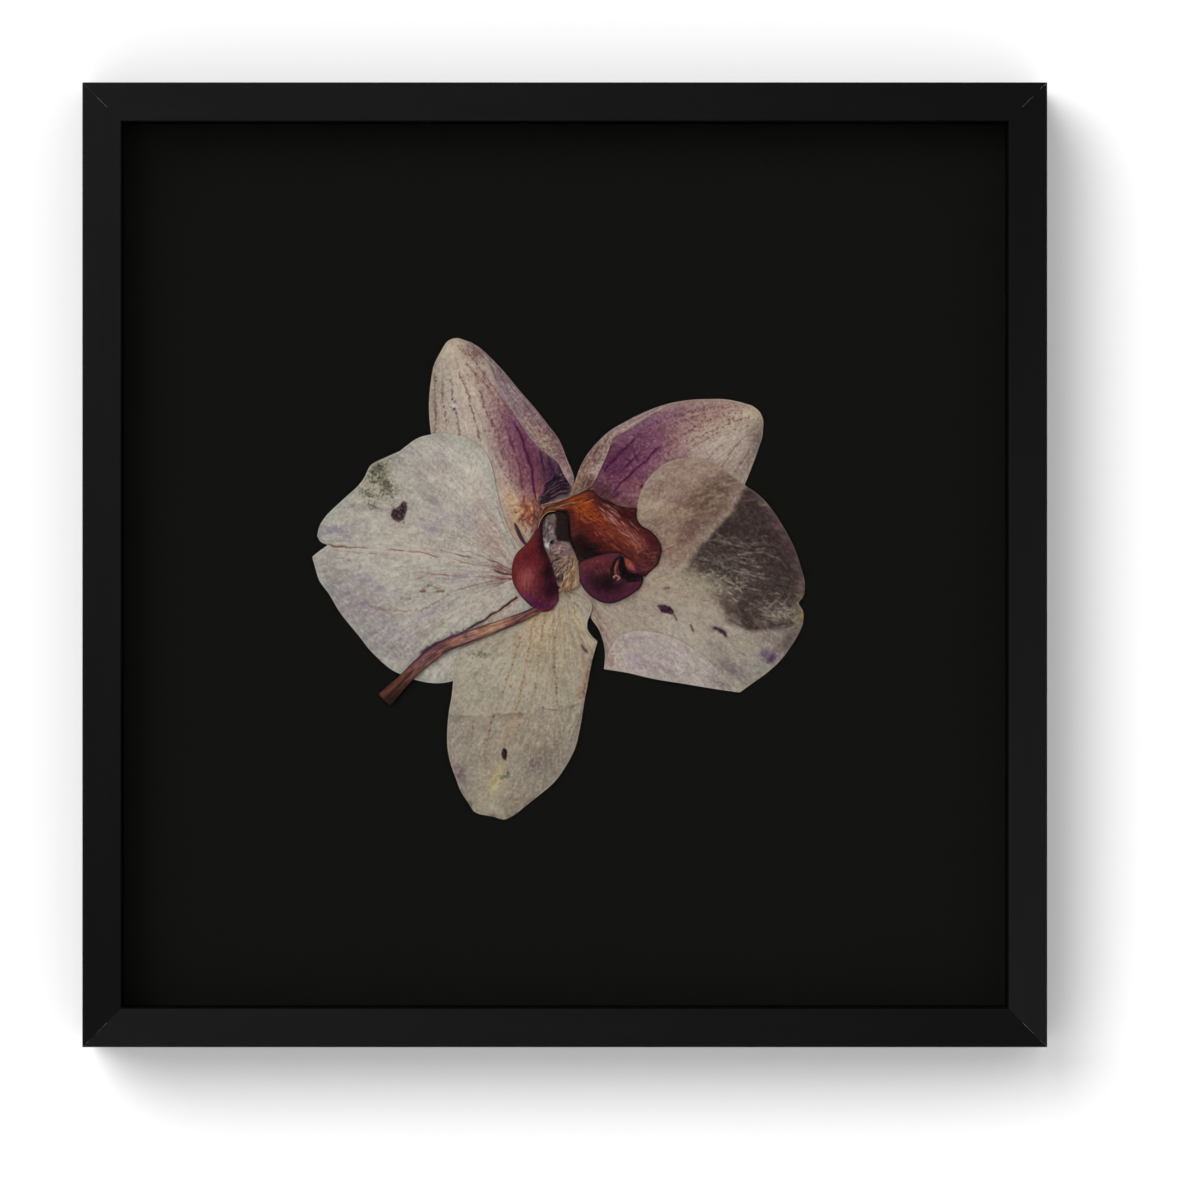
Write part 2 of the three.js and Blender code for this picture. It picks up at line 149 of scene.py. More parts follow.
def near(x, y, path, reach):
    """Distance from each place to a path of straight pieces, and how far along the path the
    nearest point lies; places further than reach keep reach and 0."""
    distance = np.full(x.shape, float(reach))
    along = np.zeros(x.shape)
    walked = 0.0
    for (ax, ay), (bx, by) in zip(path[:-1], path[1:]):
        dx, dy = bx - ax, by - ay
        length = math.hypot(dx, dy)
        if length == 0:
            continue
        close = (
            (x > min(ax, bx) - reach)
            & (x < max(ax, bx) + reach)
            & (y > min(ay, by) - reach)
            & (y < max(ay, by) + reach)
        )
        px, py = x[close] - ax, y[close] - ay
        t = np.clip((px * dx + py * dy) / length**2, 0, 1)
        found = np.hypot(px - t * dx, py - t * dy)
        nearer = found < distance[close]
        distance[close] = np.where(nearer, found, distance[close])
        along[close] = np.where(nearer, walked + t * length, along[close])
        walked += length
    return distance, along


def inside(x, y, path):
    """True where a place lies inside the closed path: an odd number of its sides lie to the
    right."""
    odd = np.zeros(x.shape, bool)
    for (ax, ay), (bx, by) in zip(path, np.roll(path, -1, axis=0)):
        if ay == by:
            continue
        crosses = ((ay > y) != (by > y)) & (x < (bx - ax) * (y - ay) / (by - ay) + ax)
        odd ^= crosses
    return odd


def wave(x, y):
    """Slow wave of the whole pressed flower, in mm, the same for all its pieces."""
    right = (x - MIDDLE) * SQUARE / MM
    up = (MIDDLE - y) * SQUARE / MM
    return 0.2 * (1 + np.sin(0.16 * right + 0.4) * np.cos(0.14 * up))


def oval(x, y, right, up, long, wide, turn):
    """1 inside a turned oval given in mm, fading to 0 just outside it."""
    dx = (x - MIDDLE) * SQUARE / MM - right
    dy = (MIDDLE - y) * SQUARE / MM - up
    along = dx * math.cos(turn) + dy * math.sin(turn)
    across = dy * math.cos(turn) - dx * math.sin(turn)
    return 1 - smooth(np.hypot(along / long, across / wide), 0.98, 1.3)


def placed(x, y, height):
    """Places of the plan, with a height in mm above the board, in metres in the frame."""
    return np.stack(
        [(x - MIDDLE) * SQUARE, -(BOARD_FACE + height * MM), FRAME_MIDDLE + (MIDDLE - y) * SQUARE],
        -1,
    )


class Skin:
    """The front of one pressed piece: a Coons patch between four sides, with a tone and a
    relief at each place, and a grain that runs along it."""

    def __init__(self, base, tip, left, right, size, tone, seed):
        """The patch between its four sides, base and tip running across and left and right
        running up, on size[0] by size[1] points, all in one tone. wx and wy are the places
        moved a little by a noise, edge is the distance from the rim."""
        plan = spanned(
            curve(base, size[0]), curve(tip, size[0]), curve(left, size[1]), curve(right, size[1])
        )
        self.x, self.y = plan[..., 0], plan[..., 1]
        self.seed = seed
        self.random = np.random.default_rng(seed)
        self.u, self.v = np.meshgrid(np.linspace(0, 1, size[0]), np.linspace(0, 1, size[1]))
        self.tone = np.zeros(self.x.shape + (3,)) + np.asarray(tone, float)
        self.relief = np.zeros(self.x.shape)
        warp_x = 1.1 * noise(self.x / 7, self.y / 7, seed + 1)
        warp_y = 1.1 * noise(self.x / 7, self.y / 7, seed + 2)
        self.wx, self.wy = self.x + warp_x, self.y + warp_y
        self.rim = np.concatenate([plan[0], plan[1:, -1], plan[-1, -2::-1], plan[-2:0:-1, 0]])
        self.edge = near(self.x, self.y, np.vstack([self.rim, self.rim[:1]]), 14)[0]
        self.lengthwise()

    def lengthwise(self):
        """Grain along the patch: across runs from side to side, along from base to tip."""
        steps = np.hypot(np.gradient(self.x, axis=0), np.gradient(self.y, axis=0))
        widths = np.hypot(np.gradient(self.x, axis=1), np.gradient(self.y, axis=1))
        self.along = np.cumsum(steps, axis=0)
        self.spread = np.sum(widths, axis=1, keepdims=True) + 0 * self.x
        self.across = self.u
        self.strands = 110

    def fanned(self, x, y, bend=0.0):
        """Grain that fans out from one place: across is the angle in turns of a half circle,
        bent evenly on the way out, along is the distance."""
        dx, dy = self.wx - x, self.wy - y
        self.along = np.hypot(dx, dy)
        self.spread = np.pi * self.along + 2
        self.across = (np.arctan2(dy, dx) / np.pi + bend * self.along / 100) % 2
        self.strands = 200

    def brighten(self, share):
        """All tones times a share, each a little further from the mean of its three parts."""
        grey_tone = self.tone.mean(-1, keepdims=True)
        self.tone = share * (grey_tone + 1.12 * (self.tone - grey_tone))

    def blend(self, tone, amount):
        """Moves the tone of each place towards the given one by its amount from 0 to 1."""
        amount = np.clip(amount, 0, 1)[..., None]
        self.tone += (np.asarray(tone, float) - self.tone) * amount

    def wash(self, x, y, long, wide, turn, tone, amount):
        """Soft oval blot with an uneven edge; turn is clockwise in degrees."""
        turn = math.radians(turn)
        dx, dy = self.wx - x, self.wy - y
        uneven = rough(self.x / 14, self.y / 14, self.seed + 5)
        dx = dx + 0.25 * wide * uneven
        dy = dy + 0.25 * wide * rough(self.x / 13, self.y / 13, self.seed + 9)
        along = dx * math.cos(turn) + dy * math.sin(turn)
        across = dy * math.cos(turn) - dx * math.sin(turn)
        self.blend(tone, amount * np.exp(-((along / long) ** 2) - (across / wide) ** 2))

    def washes(self, *rows):
        """Several washes, one row of values for each."""
        for row in rows:
            self.wash(*row)

    def area(self, path, tone, amount, soft):
        """Blot with the outline of a closed path, its edge soft by that many squares."""
        path = np.asarray(path, float)
        gap = near(self.wx, self.wy, np.vstack([path, path[:1]]), 4 * soft)[0]
        signed = np.where(inside(self.wx, self.wy, path), gap, -gap)
        self.blend(tone, amount * smooth(signed, -soft, soft))

    def line(self, path, width, tone, amount, dash=0.0, groove=0.0, fade=6.0):
        """Thin mark along a curve, faded at both ends; dash is the length of its breaks."""
        path = curve(path, 10 * len(path)) if len(path) > 2 else np.asarray(path, float)
        gap, along = near(self.wx, self.wy, path, 4 * width)
        length = np.sum(np.linalg.norm(np.diff(path, axis=0), axis=1))
        mask = np.exp(-((gap / width) ** 2)) * (gap < 4 * width)
        mask = mask * np.clip(np.minimum(along, length - along) / fade + 0.15, 0, 1)
        if dash:
            mask = mask * np.clip(0.55 + 1.5 * noise(along / dash, path[0, 0] + 0 * along, 77), 0, 1)
        self.blend(tone, amount * mask)
        self.relief -= groove * mask

    def lines(self, *rows):
        """Several lines, one row of values for each."""
        for row in rows:
            self.line(*row)

    def veins(self, count, low, high, start, end, width, tone, amount, dash=0.0, raised=0.0):
        """Fine lines along the grain at random places from low to high across it, each shown
        for part of the way between start and end, and wandering a little."""
        for k in range(count):
            where = low + (high - low) * (k + self.random.uniform(0.1, 0.9)) / count
            thin = width * self.random.uniform(0.7, 1.4)
            strong = amount * self.random.uniform(0.4, 1.0)
            first = start + (end - start) * self.random.uniform(0, 0.3)
            last = end - (end - start) * self.random.uniform(0, 0.45)
            knots = np.arange(first - 30, last + 60, 16)
            sway = self.random.uniform(-1.7, 1.7, len(knots))
            off = ((self.across - where + 1) % 2 - 1) * self.spread
            close = (np.abs(off) < 2 + 3 * thin) & (self.along > first - 12) & (self.along < last + 16)
            along = self.along[close]
            gap = off[close] + np.interp(along, knots, sway)
            mask = np.exp(-((gap / thin) ** 2)) * smooth(along, first - 8, first + 8)
            mask = mask * (1 - smooth(along, last - 14, last + 14))
            if dash:
                breaks = np.arange(first - 30, last + 60, dash)
                broken = np.interp(along, breaks, self.random.uniform(-0.6, 1.5, len(breaks)))
                mask = mask * np.clip(broken, 0, 1)
            self.tone[close] += (np.asarray(tone, float) - self.tone[close]) * (strong * mask)[:, None]
            self.relief[close] += raised * mask

    def wisps(self, count, x, y, long, wide, turn, length, lean, width, tones, amount):
        """Fine wavy threads strewn over a turned oval, each one walking length squares in a
        direction near lean, given clockwise in degrees."""
        turn = math.radians(turn)
        for k in range(count):
            along, across = self.random.normal(0, (0.6 * long, 0.6 * wide))
            px = x + along * math.cos(turn) - across * math.sin(turn)
            py = y + along * math.sin(turn) + across * math.cos(turn)
            way = math.radians(lean + self.random.normal(0, 12))
            far = length * self.random.uniform(0.5, 1.4)
            path = [(px, py)]
            for _ in range(4):
                way += self.random.normal(0, 0.3)
                px, py = path[-1]
                path.append((px + far / 4 * math.cos(way), py + far / 4 * math.sin(way)))
            thin = width * self.random.uniform(0.7, 1.3)
            much = amount * self.random.uniform(0.35, 1)
            self.line(path, thin, tones[k % len(tones)], much, 0, 0, 2)

    def dot(self, x, y, size, tone, amount):
        """One small round dot with a soft edge."""
        close = (np.abs(self.x - x) < 2.4 * size) & (np.abs(self.y - y) < 2.4 * size)
        if close.any():
            mask = np.exp(-((self.x[close] - x) ** 2 + (self.y[close] - y) ** 2) / size**2)
            self.tone[close] += (np.asarray(tone, float) - self.tone[close]) * (amount * mask)[:, None]

    def trail(self, path, gap, size, tone, amount, stray=0.6):
        """Row of small dots along a curve, uneven in place, size and strength."""
        path = np.asarray(path, float)
        length = np.sum(np.linalg.norm(np.diff(path, axis=0), axis=1))
        places = curve(path, max(2, int(length / gap)))
        for x, y in places + self.random.normal(0, stray, places.shape):
            self.dot(
                x, y, size * self.random.uniform(0.6, 1.3), tone, amount * self.random.uniform(0.25, 1)
            )

    def scatter(self, count, x, y, long, wide, turn, size, tone, amount):
        """Dots strewn at random over a turned oval, thickest in its middle."""
        turn = math.radians(turn)
        along = self.random.normal(0, 0.6 * long, count)
        across = self.random.normal(0, 0.6 * wide, count)
        xs = x + along * math.cos(turn) - across * math.sin(turn)
        ys = y + along * math.sin(turn) + across * math.cos(turn)
        for px, py in zip(xs, ys):
            self.dot(
                px, py, size * self.random.uniform(0.5, 1.4), tone, amount * self.random.uniform(0.2, 1)
            )

    def scatters(self, *rows):
        """Several scatters, one row of values for each."""
        for row in rows:
            self.scatter(*row)

    def fibre(self, length, seed):
        """Noise from -1 to 1 drawn out along the grain."""
        fine = noise(self.across * self.strands, self.along / length, self.seed + seed)
        wide = noise(self.across * self.strands / 2.7, self.along / (1.6 * length), self.seed + seed + 1)
        return 0.6 * fine + 0.4 * wide

    def flecks(self, length, tone, amount, least=0.1, mask=1.0):
        """Short strokes along the grain, where a drawn-out noise is high."""
        stroke = self.fibre(length, int(90 + length))
        self.blend(tone, amount * mask * smooth(stroke, least, least + 0.5))

    def grain(self, light, dark, strength, fibrous=0.6, pale=1.0):
        """Dry tissue: fine parchment grain, short fibres along the grain and slow clouds; pale
        is how much of the light tone shows at each place. Tones darker than the dark one are
        only made a little lighter and darker."""
        fibre = self.fibre(9, 60)
        deep = smooth(self.tone.sum(-1), 0.9 * sum(dark), 1.5 * sum(dark))
        pale = pale * (0.25 + 0.75 * deep)
        self.blend(light, pale * fibrous * strength * np.clip(fibre, 0, 1))
        self.blend(dark, deep * fibrous * strength * np.clip(-fibre, 0, 1))
        fine = rough(self.x / 1.9, self.y / 1.9, self.seed + 63, 2)
        crumple = rough(self.wx / 3.6, self.wy / 3.6, self.seed + 65, 2)
        cloud = rough(self.x / 11, self.y / 11, self.seed + 66)
        self.blend(light, pale * strength * np.clip(1.2 * fine + 0.5 * crumple, 0, 1))
        self.blend(dark, deep * strength * np.clip(-1.2 * fine - 0.5 * crumple, 0, 1))
        self.tone *= (1 + 0.16 * strength * cloud + 0.2 * (1 - deep) * fine)[..., None]
        self.relief += 0.012 * fibre + 0.022 * fine + 0.045 * crumple + 0.05 * cloud

    def net(self, cell, tone, amount, mask=1.0, thin=0.09):
        """Net of fine folds: thin lines where a noise crosses zero."""
        web = rough(self.wx / cell, self.wy / cell, self.seed + 70, 2)
        other = rough(self.wx / cell * 0.8 + 9, self.wy / cell * 0.8, self.seed + 73, 2)
        lines = np.maximum(np.exp(-((web / thin) ** 2)), np.exp(-((other / thin) ** 2)))
        self.blend(tone, amount * lines * mask)
        self.relief -= 0.03 * lines * mask

    def speckle(self, density, tone, amount, mask=1.0, size=1.0):
        """Random specks of pigment, one to three squares wide, thicker where the mask is high."""
        specks = noise(self.x / size, self.y / size, self.seed + int(80 + 10 * density))
        self.blend(tone, amount * smooth(specks * mask, 1 - density, 1 - 0.5 * density))

    def soft(self, x, y, long, wide, turn=0):
        """Soft oval mask from 0 to 1."""
        turn = math.radians(turn)
        dx, dy = self.wx - x, self.wy - y
        along = dx * math.cos(turn) + dy * math.sin(turn)
        across = dy * math.cos(turn) - dx * math.sin(turn)
        return np.exp(-((along / long) ** 2) - (across / wide) ** 2)

    def rimmed(self, light, amount, dark=None, width=1.0):
        """Line of the given tone along the edge, one square wide, with an optional dark line just inside
        it; a pale one is a painted highlight where the edge catches the light, and the dark line painted
        shade.
        """
        if dark is not None:
            self.blend(dark, 0.5 * amount * np.exp(-(((self.edge - 2.2) / width) ** 2)))
        self.blend(light, amount * np.exp(-((self.edge / width) ** 2)))

    def shell(self, bottom, thick, coarse=3):
        """Closed thin sheet: the front with its relief, a plain back on every third line, and
        a rim that joins each three front edges to one back edge."""
        lift = wave(self.x, self.y) + bottom
        front = placed(self.x, self.y, lift + thick + self.relief)
        back = placed(self.x, self.y, lift)[::coarse, ::coarse]
        rows, columns = self.x.shape
        index = np.arange(rows * columns).reshape(rows, columns)
        back_index = rows * columns + np.arange(back.shape[0] * back.shape[1]).reshape(
            back.shape[:2]
        )
        quads = np.stack([index[:-1, :-1], index[:-1, 1:], index[1:, 1:], index[1:, :-1]], -1)
        back_quads = np.stack(
            [back_index[:-1, :-1], back_index[1:, :-1], back_index[1:, 1:], back_index[:-1, 1:]], -1
        )
        loop = np.concatenate([index[0, :-1], index[:-1, -1], index[-1, :0:-1], index[:0:-1, 0]])
        back_loop = np.concatenate(
            [back_index[0, :-1], back_index[:-1, -1], back_index[-1, :0:-1], back_index[:0:-1, 0]]
        )
        first = np.arange(len(back_loop)) * coarse
        rim = [loop[(first + k) % len(loop)] for k in range(coarse, -1, -1)]
        rim = np.stack(rim + [back_loop, np.roll(back_loop, -1)], -1)
        groups = [quads.reshape(-1, 4), back_quads.reshape(-1, 4), rim]
        turn = np.sum(
            np.gradient(self.x, axis=1) * -np.gradient(self.y, axis=0)
            + np.gradient(self.y, axis=1) * np.gradient(self.x, axis=0)
        )
        if turn < 0:
            groups = [group[:, ::-1] for group in groups]
        tint = np.concatenate([self.tone.reshape(-1, 3), self.tone[::coarse, ::coarse].reshape(-1, 3)])
        grain = np.stack([self.across * self.strands / 100, self.along / 100], -1)
        grain = np.concatenate([grain.reshape(-1, 2), grain[::coarse, ::coarse].reshape(-1, 2)])
        points = np.concatenate([front.reshape(-1, 3), back.reshape(-1, 3)])
        return points, groups, tint, grain


def tube(path, wide, deep, tone, around):
    """Closed rod along a curve in the plan: an ellipse swept along the path, wide and deep
    in squares and mm at each place, its ends closed by one face each. tone gives the tone from
    how far along and round it is."""
    path = np.asarray(path, float)
    plan, height = path[:, :2], path[:, 2]
    step = np.gradient(plan, axis=0)
    step /= np.linalg.norm(step, axis=1)[:, None]
    side = np.stack([step[:, 1], -step[:, 0]], -1)
    angle = np.linspace(0, 2 * np.pi, around, endpoint=False)
    x = plan[:, :1] + side[:, :1] * wide[:, None] * np.cos(angle)
    y = plan[:, 1:] + side[:, 1:] * wide[:, None] * np.cos(angle)
    z = height[:, None] + deep[:, None] * np.sin(angle)
    count = len(path)
    index = np.arange(count * around).reshape(count, around)
    ahead = np.roll(index, -1, axis=1)
    sides = np.stack([index[:-1], ahead[:-1], ahead[1:], index[1:]], -1).reshape(-1, 4)
    groups = [sides, index[:1, ::-1], index[-1:]]
    points = placed(x, y, z + wave(x, y)).reshape(-1, 3)
    a, b, c = points[sides[0, 0]], points[sides[0, 1]], points[sides[0, 2]]
    middle = points[:around].mean(0)
    if np.dot(np.cross(b - a, c - b), a - middle) < 0:
        groups = [group[:, ::-1] for group in groups]
    along = np.linspace(0, 1, count)[:, None] + 0 * angle
    tint = tone(along, np.cos(angle) + 0 * along, np.sin(angle) + 0 * along)
    grain = np.stack([angle / 6 + 0 * along, along * count / 100], -1)
    return points, groups, tint.reshape(-1, 3), grain.reshape(-1, 2)


def mesh_of(name, points, groups, smooth_groups):
    """Mesh of points and of groups of faces; the groups named smooth are shaded smooth."""
    corners = np.concatenate([group.ravel() for group in groups])
    sizes = np.concatenate([np.full(len(group), group.shape[1]) for group in groups])
    soft = np.concatenate([np.full(len(group), k in smooth_groups) for k, group in enumerate(groups)])
    mesh = bpy.data.meshes.new(name)
    mesh.vertices.add(len(points))
    mesh.vertices.foreach_set("co", points.astype(np.float32).ravel())
    mesh.loops.add(len(corners))
    mesh.loops.foreach_set("vertex_index", corners.astype(np.int32))
    mesh.polygons.add(len(sizes))
    mesh.polygons.foreach_set("loop_start", (np.cumsum(sizes) - sizes).astype(np.int32))
    mesh.polygons.foreach_set("use_smooth", soft)
    mesh.update(calc_edges=True)
    return mesh, corners


def piece(name, mesh, material, slot, *replaced):
    """One visible piece that rides the fixed base in place of the named CAD nodes."""
    mesh.materials.append(material)
    obj = bpy.data.objects.new(name, mesh)
    bpy.context.scene.collection.objects.link(obj)
    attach(obj, "root")
    if replaced:
        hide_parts(*replaced)
    return obj


def mesh_object(name, shells, material, slot, *replaced):
    """One piece from several closed shells of three groups of faces each (the last one is the
    rim or an end and stays sharp), with its tint and grain on every point."""
    groups = []
    start = 0
    for points, shell_groups, tint, grain in shells:
        groups += [group + start for group in shell_groups]
        start += len(points)
    smooth_groups = [k for k in range(len(groups)) if k % 3 < 2]
    points = np.concatenate([shell[0] for shell in shells])
    mesh, corners = mesh_of(name, points, groups, smooth_groups)
    tint = linear(np.concatenate([shell[2] for shell in shells]))
    tint = np.column_stack([tint, np.ones(len(tint))])
    attribute = mesh.color_attributes.new("tint", "FLOAT_COLOR", "POINT")
    attribute.data.foreach_set("color", tint.astype(np.float32).ravel())
    layer = mesh.uv_layers.new(name="grain")
    grain = np.concatenate([shell[3] for shell in shells])
    layer.data.foreach_set("uv", grain[corners].astype(np.float32).ravel())
    return piece(name, mesh, material, slot, *replaced)


class Shader:
    """Small helper that adds shader nodes and joins them."""

    def __init__(self, name):
        """A new material, its node tree and its Principled surface."""
        self.material = bpy.data.materials.new(name)
        self.material.use_nodes = True
        self.tree = self.material.node_tree
        self.surface = self.tree.nodes["Principled BSDF"]

    def node(self, kind, **values):
        """Adds a node; values whose names are its sockets set those, others its options."""
        node = self.tree.nodes.new("ShaderNode" + kind)
        for key, value in values.items():
            name = key.replace("_", " ")
            if name in node.inputs:
                self.join(value, node.inputs[name])
            else:
                setattr(node, key, value)
        return node

    def join(self, value, socket):
        """Links another node's output to a socket, or sets the socket to a constant."""
        if isinstance(value, bpy.types.NodeSocket):
            self.tree.links.new(value, socket)
        else:
            socket.default_value = value

    def sum(self, kind, a, b):
        """Output of a Math node of the given kind."""
        node = self.tree.nodes.new("ShaderNodeMath")
        node.operation = kind
        self.join(a, node.inputs[0])
        self.join(b, node.inputs[1])
        return node.outputs[0]

    def ranged(self, value, low, high, to_low, to_high):
        """The value moved evenly from between low and high to between to_low and to_high."""
        node = self.tree.nodes.new("ShaderNodeMapRange")
        for socket, given in zip(node.inputs, (value, low, high, to_low, to_high)):
            self.join(given, socket)
        return node.outputs[0]

    def mixed(self, kind, share, a, b):
        """Two colours mixed by the given kind of blend."""
        node = self.tree.nodes.new("ShaderNodeMix")
        node.data_type = "RGBA"
        node.blend_type = kind
        self.join(share, node.inputs[0])
        self.join(a, node.inputs[6])
        self.join(b, node.inputs[7])
        return node.outputs[2]

    def place(self):
        """Place in the object's own coordinates, in metres."""
        return self.node("TexCoord").outputs["Object"]

    def stretched(self, vector, scale):
        """Places with each axis multiplied by its own scale."""
        return self.node("Mapping", Vector=vector, Scale=scale).outputs["Vector"]

    def clouds(self, vector, scale, detail=3.0):
        """Noise of the given scale."""
        return self.node("TexNoise", Vector=vector, Scale=scale, Detail=detail).outputs["Fac"]

    def shaded(self, shade):
        """Grey colour with the given shade."""
        return self.node("CombineColor", Red=shade, Green=shade, Blue=shade).outputs[0]

    def finish(self, colour, roughness, height, distance, strength, **constants):
        """Joins colour, roughness and bumps to the surface and sets its other constants."""
        self.join(colour, self.surface.inputs["Base Color"])
        self.join(roughness, self.surface.inputs["Roughness"])
        bump = self.node("Bump", Height=height, Distance=distance, Strength=strength)
        self.join(bump.outputs["Normal"], self.surface.inputs["Normal"])
        return self.set(**constants)

    def set(self, **constants):
        """Sets constants on the sockets of the surface."""
        for key, value in constants.items():
            self.surface.inputs[key.replace("_", " ")].default_value = value
        return self.material


def opaque(tone):
    """A tone as it looks in the scene, as a shader colour."""
    return tuple(float(c) for c in linear(np.asarray(tone))) + (1.0,)


def tissue(name, low, high, specular, fibre):
    """Dry plant tissue: painted tint with fine grain, and fibres along the piece's grain."""
    s = Shader(name)
    tint = s.node("Attribute", attribute_name="tint", attribute_type="GEOMETRY").outputs["Color"]
    place = s.place()
    grain = s.node("UVMap", uv_map="grain").outputs["UV"]
    fine = s.clouds(place, 4200.0, 4.0)
    strands = s.clouds(s.stretched(grain, (120.0, 9.0, 1.0)), 1.0, 3.0)
    fine_shade = s.ranged(fine, 0.3, 0.7, -0.12, 0.12)
    shade = s.sum("ADD", fine_shade, s.ranged(strands, 0.3, 0.7, -fibre, fibre))
    bright = s.sum("ADD", shade, 1.0)
    colour = s.mixed("MULTIPLY", 1.0, tint, s.shaded(bright))
    height = s.sum("ADD", fine, s.sum("MULTIPLY", strands, 1.5))
    roughness = s.ranged(fine, 0.3, 0.7, low, high)
    return s.finish(colour, roughness, height, 0.00004, 0.6, Specular_IOR_Level=specular)


petal_tissue = tissue("petal_tissue", 0.65, 0.9, 0.03, 0.08)
sepal_tissue = tissue("sepal_tissue", 0.6, 0.85, 0.03, 0.08)
lip_tissue = tissue("lip_tissue", 0.35, 0.55, 0.04, 0.14)
column_tissue = tissue("column_tissue", 0.45, 0.7, 0.05, 0.14)
stalk_tissue = tissue("stalk_tissue", 0.5, 0.75, 0.05, 0.14)


# Right side of the left upper sepal
UL_RIGHT = [
    (570, 500), (574, 479), (567, 459), (558, 438), (549, 426), (538, 412),
    (520, 391), (505, 373), (492, 359), (480, 348), (467, 341),
]


